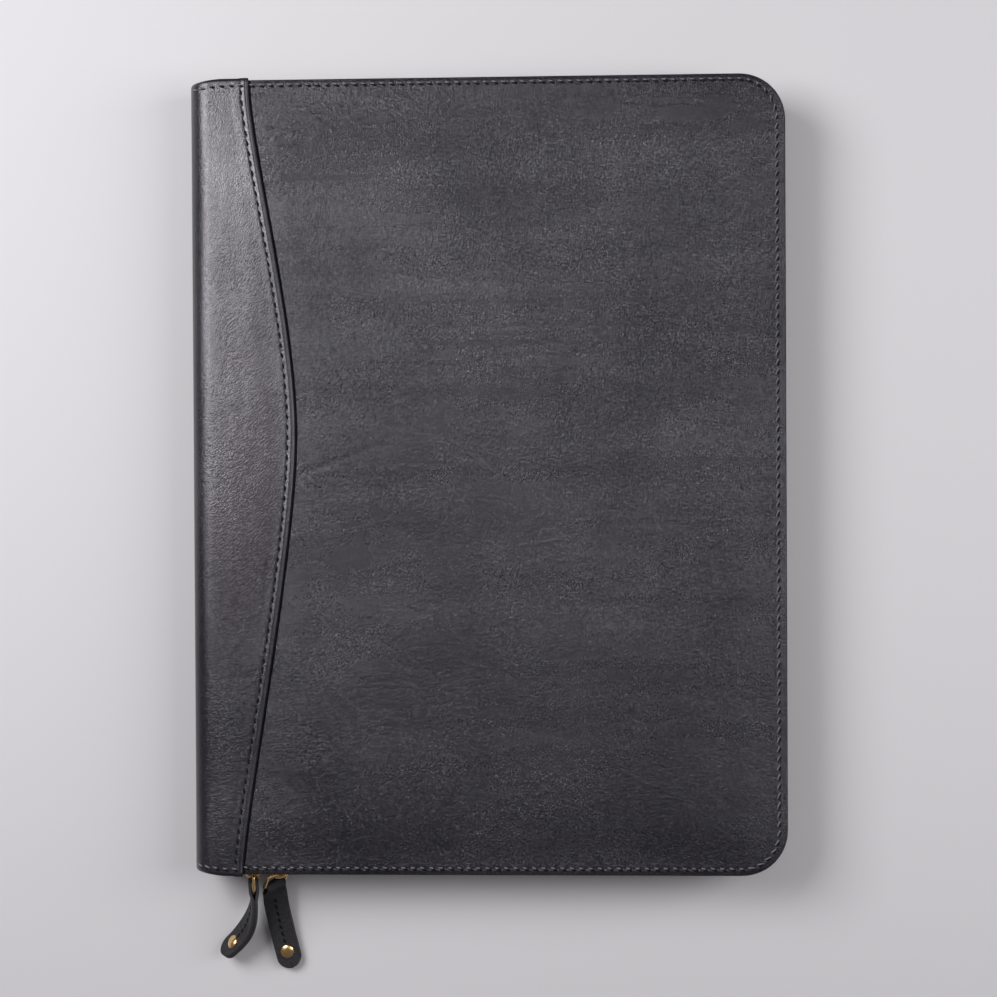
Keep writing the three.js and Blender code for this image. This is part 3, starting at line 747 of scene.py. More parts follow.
def outline_stations():
    """Round the three sewn sides: column or x, y of the straight part, and the way out."""
    stations = []
    for column in range(ACROSS + 1):
        stations.append((column, -HALF_Y + CORNER, 0, -1))
    for turn in np.linspace(-90, 0, ROUND + 1)[1:]:
        angle = math.radians(turn)
        stations.append((FORE_X - CORNER, -HALF_Y + CORNER, math.cos(angle), math.sin(angle)))
    for y in np.linspace(-HALF_Y + CORNER, HALF_Y - CORNER, UP + 1)[1:]:
        stations.append((FORE_X - CORNER, y, 1, 0))
    for turn in np.linspace(0, 90, ROUND + 1)[1:]:
        angle = math.radians(turn)
        stations.append((FORE_X - CORNER, HALF_Y - CORNER, math.cos(angle), math.sin(angle)))
    for column in range(ACROSS - 1, -1, -1):
        stations.append((column, HALF_Y - CORNER, 0, 1))
    return np.array(stations)


def stitch_inset(way_y):
    """The stitch line is nearest the edge at the top, and furthest at the fore edge."""
    low, side, high = STITCH_INSETS
    return np.where(way_y < 0, side + (low - side) * way_y ** 2, side + (high - side) * way_y ** 2)


# %% [markdown]
# The face of a panel is not a flat plane. It swells a little between the sewn edges, and the hide lies in
# faint waves: long ones across the upper half, a slanting one beside the hem, and some upright ones near the
# fore edge. They are tenths of a millimetre high, so they only show as slow changes in the sheen.

# %% Crown of the front
CROWN_RISE = mm(0.8)
CROWN_SLOPE = 0.06


def crown(x, y):
    """The front is slightly crowned: highest in the middle, lower towards the spine and the fore edge."""
    x, y = np.asarray(x, float), np.asarray(y, float)
    start = mm(-48) - mm(34) * ease(y, mm(45), mm(125))
    width = start + mm(110)
    to_spine = np.clip((start - x) / width, 0, None)
    to_fore = np.clip((x - mm(55)) / mm(70), 0, None)
    fall = CROWN_SLOPE * width / 2.2 * to_spine ** 2.2 + CROWN_RISE * to_fore ** 2.2
    return (CROWN_RISE - fall) * ease(HALF_Y - np.abs(y), mm(1), mm(42))


# %% Relief of the front face
def face_relief(x, y, inset, lively=1.0):
    swell = mm(0.6) * ease(inset, mm(4.2), mm(24))
    beside_hem = ease(x, hem_x(y) + mm(0.5), hem_x(y) + mm(9))
    upper = ease(y, mm(20), mm(80)) * (1 - ease(y, mm(150), mm(166)))
    across = np.sin(y / mm(13.5) + 1.4 * np.sin(x / mm(46)) + x / mm(95)) * upper
    across += 0.6 * np.sin(y / mm(7.7) - x / mm(38) + 0.8) * upper * ease(x, mm(-60), mm(20))
    fore = ease(x, mm(84), mm(108)) * bump_at(y, mm(40), mm(75))
    upright = np.sin(x / mm(3.6) + 1.2 * np.sin(y / mm(31))) * fore
    calm = ease(inset, mm(5), mm(11))
    fan = np.sin(np.hypot(x - mm(-130), y - mm(-40)) / mm(2.2))
    fan = fan * bump_at(x, mm(-62), mm(24)) * bump_at(y, mm(-122), mm(26))
    waves = mm(0.07) * across + mm(0.035) * upright + mm(0.02) * fan
    near_fore = ease(FORE_X - x, mm(2), mm(20))
    return beside_hem * (swell + lively * calm * waves) + crown(x, y) * near_fore


# %% Build one panel
def hem_dip(x, y):
    """The hem is sewn down hard, so the panel dips along its edge."""
    return mm(0.6) * bump_at(x - hem_x(y), mm(0.3), mm(0.42))


def outline_depth(x, y):
    """How far a place lies inside the cover's outline."""
    past_x = np.maximum(x - (FORE_X - CORNER), 0)
    past_y = np.maximum(np.abs(y) - (HALF_Y - CORNER), 0)
    return CORNER - np.hypot(past_x, past_y)


# Painted shade in the fold beside the hem; a darker matt strip at the outline.
def panel_matt_and_shade(x, y, z):
    beside_hem = x - hem_x(y)
    fold = 1 - ease(beside_hem, mm(0.55), mm(1.0))
    return np.maximum(1 - ease(outline_depth(x, y), mm(0.12), mm(0.6)), 0.9 * fold)


# Painted shade at the hem's nose and in the valley behind its ridge; a darker matt strip at the turned ends.
def wrap_matt_and_shade(x, y, z):
    from_hem = hem_x(y) - x
    nose = 1 - ease(from_hem, mm(0.05), mm(0.55))
    valley = 0.7 * bump_at(from_hem, mm(1.2), mm(0.5))
    ends = 1 - ease(HALF_Y - np.abs(y), mm(0.3), mm(1.4))
    return np.maximum(ends, np.maximum(nose, valley))


def panel_surface(face_z, under_z, out, tuck, relief, lively, groove):
    """out is +1 where the face looks up, -1 where it looks down. tuck is the step under the spine leather."""
    stations = outline_stations()
    straight = stations[:, 2] == 0
    radius = abs(face_z - under_z) / 2
    middle_z = (face_z + under_z) / 2
    rings = []
    for inset in np.linspace(EDGE_WIDTH, EDGE_ROUND, 5)[:-1]:
        rings.append((inset, under_z, None))
    for side in (-1, 1):
        for angle in np.radians(np.linspace(0, 90, 7)[::side]):
            height = radius - EDGE_ROUND + (EDGE_ROUND - BEAD_FALL * (side > 0)) * math.sin(angle)
            rings.append((EDGE_ROUND - EDGE_ROUND * math.cos(angle), middle_z + out * side * height, None))
    offsets = [-1.15, -0.8, -0.5, -0.3, -0.15, 0.0, 0.15, 0.3, 0.5, 0.8, 1.15]
    rings += [(None, face_z, offset) for offset in offsets]
    face_insets = mm(1) * np.array([5.4, 6.4, 7.8, 9.6, 11.8, 14.2, 16.8, 19.5])
    rings += [(inset, face_z, "face") for inset in face_insets]
    inset_of_stitch = stitch_inset(stations[:, 3])
    rows = []
    for inset, z, kind in rings:
        if inset is None:
            inset_here = inset_of_stitch + mm(1.0) * kind
            fall = BEAD_FALL * float(ease(-inset_here.mean(), -mm(2.4), -EDGE_ROUND))
            height = -groove * math.exp(-((kind / 0.42) ** 2)) - fall
        else:
            inset_here = np.full(len(stations), inset)
            height = 0.0
        reach = CORNER - inset_here
        xy = stations[:, :2] + stations[:, 2:] * reach[:, None]
        xy[straight, 0] = column_x(stations[straight, 0], xy[straight, 1])
        rise = relief(xy[:, 0], xy[:, 1], inset_here, lively)
        if kind is None:
            rise = rise * float(ease(out * (z - middle_z), 0, radius))
        shown = ease(xy[:, 0] - hem_x(xy[:, 1]), mm(0.1), mm(0.8))
        rolled = 1.0 if kind is not None else ease(out * (z - middle_z), 0, radius)
        dip = hem_dip(xy[:, 0], xy[:, 1]) * rolled
        top = z + out * (height * shown + rise - tuck * (1 - shown) * rolled) - dip * (out > 0)
        rows.append(np.column_stack([xy, np.broadcast_to(top, len(stations))]))
    rows = np.array(rows)
    ys = rows[-1][ACROSS + ROUND:ACROSS + ROUND + UP + 1, 1]
    columns, grid_y = np.meshgrid(np.arange(ACROSS + 1.0), ys, indexing="ij")
    grid_x = column_x(columns, grid_y)
    inset = np.minimum(np.minimum(HALF_Y - np.abs(grid_y), FORE_X - grid_x), mm(60))
    shown = ease(grid_x - hem_x(grid_y), mm(0.1), mm(0.8))
    rise = relief(grid_x, grid_y, inset, lively) - tuck * (1 - shown) - hem_dip(grid_x, grid_y) * (out > 0)
    core = np.stack([grid_x, grid_y, face_z + out * rise], axis=-1)
    return rows, core


def panel_piece(name, face_z, under_z, out, tuck, relief=face_relief, lively=1.0, groove=mm(0.13)):
    rows, core = panel_surface(face_z, under_z, out, tuck, relief, lively, groove)
    edge = sheet_from_points(name + "_edge", rows)
    middle = sheet_from_points(name + "_middle", core)
    piece = join(name, [edge, middle])
    clean_normals(piece, mm(0.02))
    outward = sum((polygon.normal.z * polygon.area for polygon in piece.data.polygons)) * out
    if outward < 0:
        turn_faces(piece)
    add_modifier(piece, "SOLIDIFY", thickness=LEATHER, offset=-1.0)
    smooth(piece, 60)
    return piece


# %% Front and back panels
front_panel = panel_piece("front_panel", PANEL_Z, EDGE_Z, 1, tuck=mm(0.06))
paint(front_panel, cover_leather)
mark_matt_and_shade(front_panel, panel_matt_and_shade)
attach(front_panel, "front_cover")
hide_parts("front_leather")

back_panel = panel_piece("back_panel", 0.0, BACK_EDGE_Z, -1, tuck=mm(1.0), lively=0.0, groove=mm(0.42),
                         relief=lambda x, y, inset, lively: 0.0 * x)
paint(back_panel, cover_leather)
mark_matt_and_shade(back_panel, panel_matt_and_shade)
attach(back_panel, "back_cover")
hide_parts("back_leather")
print("panel faces:", len(front_panel.data.polygons), len(back_panel.data.polygons))


# %% [markdown]
# ## The spine leather
#
# A second leather wraps the spine. It starts at the curved hem on the front, rolls over the shoulder, covers
# the spine and ends at a hem on the back. The real one is a single hide. Here it is two pieces that meet in
# the middle of the spine. The hem is folded under and sewn: a thin dark nose, a ridge, and the sunk stitch
# line.

# %% Cross-section of the front half
HEM_STITCH = mm(3.25)
NOSE = mm(0.55)
LEATHER_WRAP = mm(0.55)
SPLIT_Z = MID_Z
SPINE_END_DROP = mm(1.5)


def hem_section(under, lift):
    """Distances in from the hem's edge, heights above the flap's face, from the tuck to the flat face."""
    steps = [(under, -mm(1.0)), (mm(1.2), -mm(1.0))]
    for angle in np.radians(np.linspace(-90, 90, 9)):
        steps.append((NOSE - NOSE * math.cos(angle), -mm(1.0) + NOSE + NOSE * math.sin(angle)))
    steps += [(mm(0.7), lift), (mm(0.9), lift * 0.96), (mm(1.2), lift * 0.7), (mm(1.42), lift * 0.46)]
    steps += [(mm(1.62), lift * 0.66), (mm(1.85), lift * 0.88), (mm(2.2), lift * 0.62), (mm(2.6), lift * 0.26)]
    steps += [(HEM_STITCH - mm(0.3), -lift * 0.06)]
    steps += [(HEM_STITCH, -mm(0.12)), (HEM_STITCH + mm(0.22), -mm(0.05)), (mm(3.75), mm(0.03))]
    steps += [(mm(4.3), mm(0.06)), (mm(5.2), mm(0.04)), (mm(7.0), 0.0)]
    return steps


def flush_section():
    """The back hem is pared thin and lies flush in the back panel, so the cover rests flat."""
    steps = [(mm(1.6), -mm(0.62)), (mm(0.3), -mm(0.55)), (mm(0.06), -mm(0.3)), (mm(0.25), -mm(0.06))]
    steps += [(mm(0.7), 0.0), (mm(2.2), 0.0), (mm(2.9), -mm(0.04)), (HEM_STITCH, -mm(0.2))]
    steps += [(mm(3.6), -mm(0.04)), (mm(4.2), 0.0)]
    return steps + [(mm(5.0), 0.0), (mm(7.0), 0.0)]


def rows_along(count=170):
    inner = np.linspace(-HALF_Y + mm(3), HALF_Y - mm(3), count)
    beside_end = mm(1) * np.array([0.9, 1.6, 2.3])
    return np.concatenate([-HALF_Y + beside_end, inner, HALF_Y - beside_end[::-1]])


def wrap_half(out, lift, waves):
    """out is +1 for the front half and -1 for the back half, which is the same section turned over."""
    ys = rows_along()
    section = hem_section(mm(3.0), lift) if out > 0 else flush_section()
    centre_z = TOP_Z - SHOULDER
    points = []
    for y in ys:
        hem = float(hem_x(y))
        lean = math.sqrt(1 + float(hem_slope(y)) ** 2)
        line = [(hem - d * lean, TOP_Z + h) for d, h in section]
        start_x = hem - section[-1][0] * lean
        if out > 0:
            line = [(x, z + float(crown(x, y))) for x, z in line]
        for share in np.linspace(0, 1, 22)[1:]:
            x = start_x + (FOLD_X - start_x) * share
            line.append((x, TOP_Z + float(crown(x, y)) * (out > 0)))
        reach = SHOULDER + float(crown(SPINE_X, y)) * (out > 0)
        for angle in np.radians(np.linspace(90, 180, 15)[1:]):
            x = FOLD_X + SHOULDER * math.cos(angle)
            lift_here = float(crown(x, y)) * (out > 0)
            line.append((x, TOP_Z + lift_here - reach * (1 - math.sin(angle))))
        for z in np.linspace(centre_z, SPLIT_Z, 5)[1:]:
            line.append((SPINE_X, z))
        points.append([(x, y, z) for x, z in line])
    points = np.array(points)
    hem_rows = len(section)
    flat = points[:, hem_rows:]
    flat[..., 2] += waves * mm(0.05) * np.sin(flat[..., 1] / mm(19) + flat[..., 0] / mm(11)) * (
        ease(flat[..., 2], centre_z + mm(6), TOP_Z - mm(0.2)))
    points = close_ends(points, hem_rows)
    points[..., 1] *= 1 - SPINE_END_DROP / HALF_Y * (1 - ease(points[..., 0], SPINE_X, SPINE_X + mm(15)))
    if out < 0:
        points[..., 2] = np.maximum(TOP_Z - points[..., 2], BACK_WRAP_Z)
    return points


# %% [markdown]
# At the top and bottom the spine leather is turned in over the edge. Each end gets a small round: the last
# rows draw in towards the middle of the thickness and then run back inside.

# %% Rounded ends
END_ROUND = mm(1.3)
BACK_WRAP_Z = mm(0.35)


def close_ends(points, hem_rows):
    reach = mm(0.6)
    amount = np.full(points.shape[1], END_ROUND)
    amount[:hem_rows - 3] = mm(0.3)
    amount = amount[:, None]
    ends = []
    for row, side in ((0, -1), (-1, 1)):
        base = points[row].copy()
        tangent = np.gradient(base, axis=0)
        inward = np.cross(tangent, np.array([0, 1.0, 0]))
        inward /= np.linalg.norm(inward, axis=1, keepdims=True) + 1e-12
        if inward[-1][0] < 0:
            inward = -inward
        extra = []
        for angle in np.radians([22, 45, 68, 90]):
            moved = base + inward * amount * (1 - math.cos(angle))
            moved[:, 1] = side * (HALF_Y - mm(0.9) + (reach + mm(0.9)) * math.sin(angle))
            extra.append(moved)
        turned = base + inward * amount * 1.5
        turned[:, 1] = side * (HALF_Y + reach - mm(0.25))
        extra.append(turned)
        ends.append(np.array(extra))
    return np.concatenate([ends[0][::-1], points, ends[1]])


def wrap_piece(name, out, lift, waves):
    piece = sheet_from_points(name, wrap_half(out, lift, waves))
    activate(piece)
    bpy.ops.object.mode_set(mode="EDIT")
    bpy.ops.mesh.select_all(action="SELECT")
    bpy.ops.mesh.normals_make_consistent(inside=False)
    bpy.ops.object.mode_set(mode="OBJECT")
    side = sum(p.normal.x * p.area for p in piece.data.polygons if p.center.x < SPINE_X + mm(0.2))
    if side > 0:
        turn_faces(piece)
    add_modifier(piece, "SOLIDIFY", thickness=LEATHER_WRAP, offset=-1.0)
    smooth(piece, 60)
    paint(piece, spine_leather)
    mark_matt_and_shade(piece, wrap_matt_and_shade)
    return piece


front_wrap = wrap_piece("front_wrap", 1, mm(0.26), 1.0)
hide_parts("front_flap", "front_fold", "spine_leather")

back_wrap = wrap_piece("back_wrap", -1, 0.0, 0.0)
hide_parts("back_flap", "back_fold")

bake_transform(front_wrap)
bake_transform(back_wrap)
print("spine leather faces:", len(front_wrap.data.polygons), len(back_wrap.data.polygons))


# %% [markdown]
# ## Stitches
#
# A saddle stitch shows as short slanting dashes of waxed thread. Each dash is a slim capsule, half sunk in the
# leather. One capsule is modelled, and a seam copies its vertices to every place along a line: the middle of
# the stitch, the way it runs and the way up. Copying by numbers keeps a seam of hundreds one light mesh.

# %% One stitch, copied along a line
def capsule_template():
    nothing_selected()
    bpy.ops.mesh.primitive_uv_sphere_add(segments=8, ring_count=6, radius=1.0)
    activate(bpy.context.object)
    bpy.ops.object.mode_set(mode="EDIT")
    bpy.ops.mesh.select_all(action="SELECT")
    bpy.ops.transform.rotate(value=math.radians(90), orient_axis="Y", center_override=(0, 0, 0))
    bpy.ops.object.mode_set(mode="OBJECT")
    piece = bpy.context.object
    vertices = np.array([v.co[:] for v in piece.data.vertices])
    faces = [tuple(p.vertices) for p in piece.data.polygons]
    bpy.data.objects.remove(piece)
    return vertices, faces


STITCH = capsule_template()


def resample(line, pitch, start, stop):
    line = np.asarray(line, float)
    steps = np.linalg.norm(np.diff(line, axis=0), axis=1)
    places = np.concatenate([[0], np.cumsum(steps)])
    count = max(1, int(round((places[-1] - start - stop) / pitch)))
    at = start + (np.arange(count) + 0.5) * (places[-1] - start - stop) / count
    points = np.column_stack([np.interp(at, places, line[:, k]) for k in range(3)])
    before = np.column_stack([np.interp(at - mm(0.4), places, line[:, k]) for k in range(3)])
    after = np.column_stack([np.interp(at + mm(0.4), places, line[:, k]) for k in range(3)])
    return points, after - before


def copies(name, template, centres, alongs, ups, scale, slant=0.0):
    """Copies of a template whose X runs along the line and whose Z is up."""
    vertices, faces = template
    alongs = alongs / np.linalg.norm(alongs, axis=1, keepdims=True)
    sides = np.cross(ups, alongs)
    sides /= np.linalg.norm(sides, axis=1, keepdims=True)
    ups = np.cross(alongs, sides)
    if slant:
        alongs, sides = (alongs * math.cos(slant) + sides * math.sin(slant),
                         sides * math.cos(slant) - alongs * math.sin(slant))
    local = vertices * np.array(scale)
    cloud = (centres[:, None] + local[None, :, :1] * alongs[:, None] + local[None, :, 1:2] * sides[:, None]
             + local[None, :, 2:] * ups[:, None])
    size = len(vertices)
    all_faces = [tuple(index + size * k for index in face) for k in range(len(centres)) for face in faces]
    return object_from(name, cloud.reshape(-1, 3), all_faces)


def seam(name, line, body, up=(0, 0, 1), pitch=mm(4.0), length=mm(3.1), radius=mm(0.4), start=mm(2), stop=mm(2),
         sink=0.0, slant=-0.35, yarn=None, shadow_shift=(0, 0, 0)):
    """The shift moves each stitch's dark mark, its needle hole with a painted shadow, to the side away from the
    light.
    """
    centres, alongs = resample(line, pitch, start, stop)
    ups = np.broadcast_to(np.asarray(up, float), centres.shape) if np.ndim(up) == 1 else up(centres)
    centres = centres - ups * sink
    piece = copies(name, STITCH, centres, alongs, ups, (length / 2, radius, radius * 0.8), slant)
    # Painted shadow: a dark slot beside each stitch stands for its needle hole and the shade the stitch casts.
    shadow_places = centres + alongs * (pitch / 2) + np.array(shadow_shift) + ups * radius * 0.15
    shadow_slots = copies(name + "_slots", STITCH, shadow_places, alongs, ups, (mm(1.2), mm(0.6), radius * 0.75), slant)
    paint(piece, yarn or lit_thread)
    paint(shadow_slots, hole_and_shadow)
    piece = join(name, [piece, shadow_slots])
    smooth(piece, 80)
    if body:
        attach(piece, body)
    return piece


# %% [markdown]
# The front panel is sewn round three sides. The line starts and ends under the spine leather, so no loose end
# shows. The hem has its own line, with slightly longer stitches. The back is sewn in the same way.

# %% Panel and hem seams
def panel_seam_line(z):
    line = []
    for column, y, way_x, way_y in outline_stations():
        inset = float(stitch_inset(np.array(way_y)))
        reach = CORNER - inset
        if way_x == 0:
            at_y = y + way_y * reach
            line.append((float(column_x(column, at_y)), at_y, z))
        else:
            line.append((column + way_x * reach, y + way_y * reach, z))
    return [point for point in line if point[0] > float(hem_x(point[1])) - mm(1)]


def hem_seam_line(z, inset=HEM_STITCH):
    line = []
    for y in np.linspace(-HALF_Y + mm(1.5), HALF_Y - mm(1.5), 300):
        lean = math.sqrt(1 + float(hem_slope(y)) ** 2)
        line.append((float(hem_x(y)) - inset * lean, y, z))
    return line


def on_crown(line):
    line = np.array(line, float)
    near_fore = ease(FORE_X - line[:, 0], mm(2), mm(20))
    line[:, 2] += crown(line[:, 0], line[:, 1]) * near_fore
    return line


# Lower right of each stitch, away from the light at the upper left, where the painted shadow goes.
SHADOW_SIDE = (mm(0.35), -mm(0.35), 0)
seam("front_edge_seam", on_crown(panel_seam_line(PANEL_Z + mm(0.03))), "front_cover", start=mm(0), stop=mm(0),
     shadow_shift=SHADOW_SIDE)
seam("front_hem_seam", on_crown(hem_seam_line(TOP_Z - mm(0.1))), "front_cover", pitch=mm(4.35), length=mm(2.9),
     slant=0.15, yarn=shaded_thread)
seam("back_edge_seam", panel_seam_line(mm(0.4)), "back_cover", up=(0, 0, -1), start=mm(0), stop=mm(0))
seam("back_hem_seam", hem_seam_line(mm(0.4)), "back_cover", up=(0, 0, -1), pitch=mm(4.35), length=mm(3.0),
     sink=0.0)


# %% [markdown]
# At the top and bottom the spine leather is turned in and sewn too, in line with the panel's seam, from the
# hem over the shoulder. These short seams follow the leather round the shoulder.

# %% Seams at the ends of the spine leather
def end_seam(name, side, out, inset):
    y = side * (HALF_Y - inset)
    middle = TOP_Z - SHOULDER
    line = []
    for x in np.linspace(float(hem_x(y)) - mm(0.8), FOLD_X, 30):
        line.append((x, y, TOP_Z))
    for angle in np.radians(np.linspace(90, 150, 16)[1:]):
        line.append((FOLD_X + SHOULDER * math.cos(angle), y, middle + SHOULDER * math.sin(angle)))
    line = np.array(line)
    line[:, 1] *= 1 - SPINE_END_DROP / HALF_Y * (1 - ease(line[:, 0], SPINE_X, SPINE_X + mm(15)))
    ups = np.column_stack([np.gradient(line[:, 2]), 0 * line[:, 0], -np.gradient(line[:, 0])])
    ups /= np.linalg.norm(ups, axis=1, keepdims=True)
    ups *= np.sign(ups[0, 2])
    if out < 0:
        line[:, 2] = np.maximum(TOP_Z - line[:, 2], BACK_WRAP_Z)
        ups[:, 2] *= -1

    def up_at(centres):
        nearest = np.argmin(((centres[:, None] - line[None]) ** 2).sum(-1), axis=1)
        return ups[nearest]

    piece = seam(name, line, None, up=up_at, start=mm(0.5), stop=mm(0.5), sink=-mm(0.06) * (out > 0),
                 slant=-0.3,
                 shadow_shift=SHADOW_SIDE if out > 0 else (0, 0, 0))
    if out > 0:
        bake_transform(piece)
    else:
        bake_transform(piece)


for side, label, inset in ((-1, "bottom", STITCH_INSETS[0] - mm(0.4)), (1, "top", STITCH_INSETS[2])):
    end_seam("front_wrap_seam_" + label, side, 1, inset)
    end_seam("back_wrap_seam_" + label, side, -1, inset)


# %% [markdown]
# ## The zip
#
# The zip runs round the three open sides, half of it on each cover. Its tape comes out from between leather and
# lining, turns and stands in the side of the cover as a woven wall. Brass teeth are clamped on its edge, one
# row on each tape, shifted by half a pitch so they interlock. The line below is the way round at the wall.

# %% Way round the cover
def way_round(inset, step=mm(1.5), from_x=mm(-116)):
    """Points and outward directions round the three sides, at a given distance in from the outline."""
    radius = CORNER - inset
    points, outs = [], []
    low_y = -HALF_Y + inset
    for x in np.arange(from_x, FORE_X - CORNER, step):
        points.append((x, low_y))
        outs.append((0, -1))
    for turn in np.linspace(-90, 0, 22):
        a = math.radians(turn)
        points.append((FORE_X - CORNER + radius * math.cos(a), -HALF_Y + CORNER + radius * math.sin(a)))
        outs.append((math.cos(a), math.sin(a)))
    for y in np.arange(-HALF_Y + CORNER + step, HALF_Y - CORNER, step):
        points.append((FORE_X - inset, y))
        outs.append((1, 0))
    mirrored = [((x, -y), (ox, -oy)) for (x, y), (ox, oy) in zip(points, outs) if y <= -HALF_Y + CORNER]
    for point, out in mirrored[::-1]:
        points.append(point)
        outs.append(out)
    return np.array(points), np.array(outs)


# %% [markdown]
# ### Tape
#
# The tape's cross-section starts flat between leather and lining, bends over and runs down to the teeth, where
# a thick cord is woven into its edge. Its coordinates are laid along and across the tape, so the twill weave
# follows it round the corners.

# %% Zip tapes
ZIP_INSET = mm(3.0)


def tape_piece(name, body, node_name, edge_z, cord_z):
    """edge_z is the leather edge's underside, cord_z where the teeth begin."""
    sign = 1 if cord_z > edge_z else -1
    section = [(mm(9.0), 0.12), (mm(6.5), 0.12), (mm(4.6), 0.14)]
    section += [(mm(3.6), 0.35), (mm(3.15), 0.8), (mm(3.0), 1.6)]
    section += [(mm(3.0), d) for d in (2.6, 3.6, 4.6, 5.4, 6.0)]
    section += [(mm(2.75), 6.35), (mm(2.6), 6.8), (mm(2.75), 7.2)]
    base, outs = way_round(0.0)
    lengths = np.concatenate([[0], np.cumsum(np.linalg.norm(np.diff(base, axis=0), axis=1))])
    rows = []
    for inset, down in section:
        rows.append(np.column_stack([base - outs * inset, np.full(len(base), edge_z + sign * mm(down))]))
    points = np.array(rows)
    piece = sheet_from_points(name, points)
    across = np.concatenate([[0], np.cumsum([math.hypot(b[0] - a[0], mm(b[1] - a[1]))
                                             for a, b in zip(section, section[1:])])])
    layer = piece.data.uv_layers.new(name="weave")
    columns = len(base)
    for loop in piece.data.loops:
        row, column = divmod(loop.vertex_index, columns)
        layer.data[loop.index].uv = (lengths[column], across[row])
    beside_fore_edge = [p for p in piece.data.polygons if p.center.x > FORE_X - mm(4)]
    faces_out = sum(p.normal.x * p.area for p in beside_fore_edge)
    if faces_out < 0:
        turn_faces(piece)
    add_modifier(piece, "SOLIDIFY", thickness=mm(0.55), offset=-1.0)
    smooth(piece, 50)
    paint(piece, zip_tape)
    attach(piece, body)
    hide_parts(node_name)
    return piece


tape_piece("front_tape", "front_cover", "zip_tape_front", EDGE_Z, mm(18.25))
tape_piece("back_tape", "back_cover", "zip_tape_back", BACK_EDGE_Z, mm(11.75))


# %% [markdown]
# ### Teeth
#
# A brass tooth is a small clamp: two legs grip the tape's cord, and a rounded head with a dimple on one side
# and a nib on the other locks between its neighbours. The legs are what shows from the side. One tooth is a
# cube, widened at the legs and narrowed towards the head, with its corners bevelled.

# %% One tooth
TOOTH_PITCH = mm(2.6)


def tooth_template():
    """X along the zip, Y outward from the cover, Z from the legs towards the head."""
    nothing_selected()
    bpy.ops.mesh.primitive_cube_add(size=1.0)
    piece = take("tooth")
    piece.scale = (mm(1.25), mm(3.0), mm(4.4))
    apply_place(piece)
    mesh = bmesh.new()
    mesh.from_mesh(piece.data)
    head = [v for v in mesh.verts if v.co.z > 0]
    for v in head:
        v.co.x *= 0.78
        v.co.y *= 0.62
    upright = [e for e in mesh.edges if abs(e.verts[0].co.z - e.verts[1].co.z) > mm(1)]
    bmesh.ops.subdivide_edges(mesh, edges=upright, cuts=1)
    for v in mesh.verts:
        if abs(v.co.z) < mm(0.5):
            v.co.z = mm(0.5)
            v.co.y *= 1.16
    bmesh.ops.bevel(mesh, geom=mesh.edges[:], offset=mm(0.22), segments=1, affect="EDGES")
    mesh.to_mesh(piece.data)
    mesh.free()
    vertices = np.array([v.co[:] for v in piece.data.vertices])
    faces = [tuple(p.vertices) for p in piece.data.polygons]
    bpy.data.objects.remove(piece)
    return vertices, faces


TOOTH = tooth_template()
print("faces of a tooth:", len(TOOTH[1]))


def zip_row(name, body, node_name, middle_z, direction, shift):
    points, outs = way_round(ZIP_INSET - mm(0.4), step=mm(0.6))
    line = np.column_stack([points, np.full(len(points), middle_z)])
    steps = np.concatenate([[0], np.cumsum(np.linalg.norm(np.diff(line, axis=0), axis=1))])
    count = int(steps[-1] / TOOTH_PITCH) - 1
    at = (np.arange(count) + 0.5 + shift) * TOOTH_PITCH
    centres = np.column_stack([np.interp(at, steps, line[:, k]) for k in range(3)])
    out = np.column_stack([np.interp(at, steps, outs[:, k]) for k in range(2)] + [np.zeros(count)])
    ups = np.broadcast_to(np.array([0, 0, float(direction)]), centres.shape)
    alongs = np.cross(out, ups)
    piece = copies(name, TOOTH, centres, alongs, ups, (1, 1, 1))
    smooth(piece, 30)
    paint(piece, zip_brass)
    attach(piece, body)
    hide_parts(node_name)
    return piece


zip_row("back_teeth", "back_cover", "zip_teeth_back", mm(13.75), 1, 0.0)
zip_row("front_teeth", "front_cover", "zip_teeth_front", mm(16.25), -1, 0.5)


# %% [markdown]
# ## The pulls
#
# Two sliders close the zip from both ends. Each has a brass body that runs on the teeth, a bail on its face
# and a ring through the bail. A leather strap goes round the ring's far bar, lies back on itself, is sewn down
# its middle and riveted at its tip. The left pull hangs edge-on and twists to its side. The right one lies
# nearly flat on the surface, so its face looks up.

# %% Bars of the rings
class Pull:
    """Where one pull hangs: its slider, the bar's direction and the way the ring reaches out."""

    def __init__(self, side, place_x, bar, out, top, end):
        self.side = side
        self.place_x = place_x
        self.bar = Vector(bar).normalized()
        self.out = Vector(out).normalized()
        self.top = Vector(top)
        self.end = Vector(end)


LEFT = Pull("left", mm(-103.2), (-0.165048, 0, -0.986286), (0, -1, 0), mm(1) * Vector((-103.2, -171.9, 15)),
            mm(1) * Vector((-103.2, -178.9, 15)))
RIGHT = Pull("right", mm(-92.4), (0.68562, 0.196598, -0.700909), (-0.320421, -0.783049, -0.53307),
             mm(1) * Vector((-92.4, -171.9, 15)), mm(1) * Vector((-94.643, -177.381, 11.269)))


# %% [markdown]
# ### Rings and bails
#
# A ring is a rectangle of round brass wire with bent corners. It is swept along its own line, so its section
# stays round in the bends. The bail is a short arch of the same kind on the slider's face.

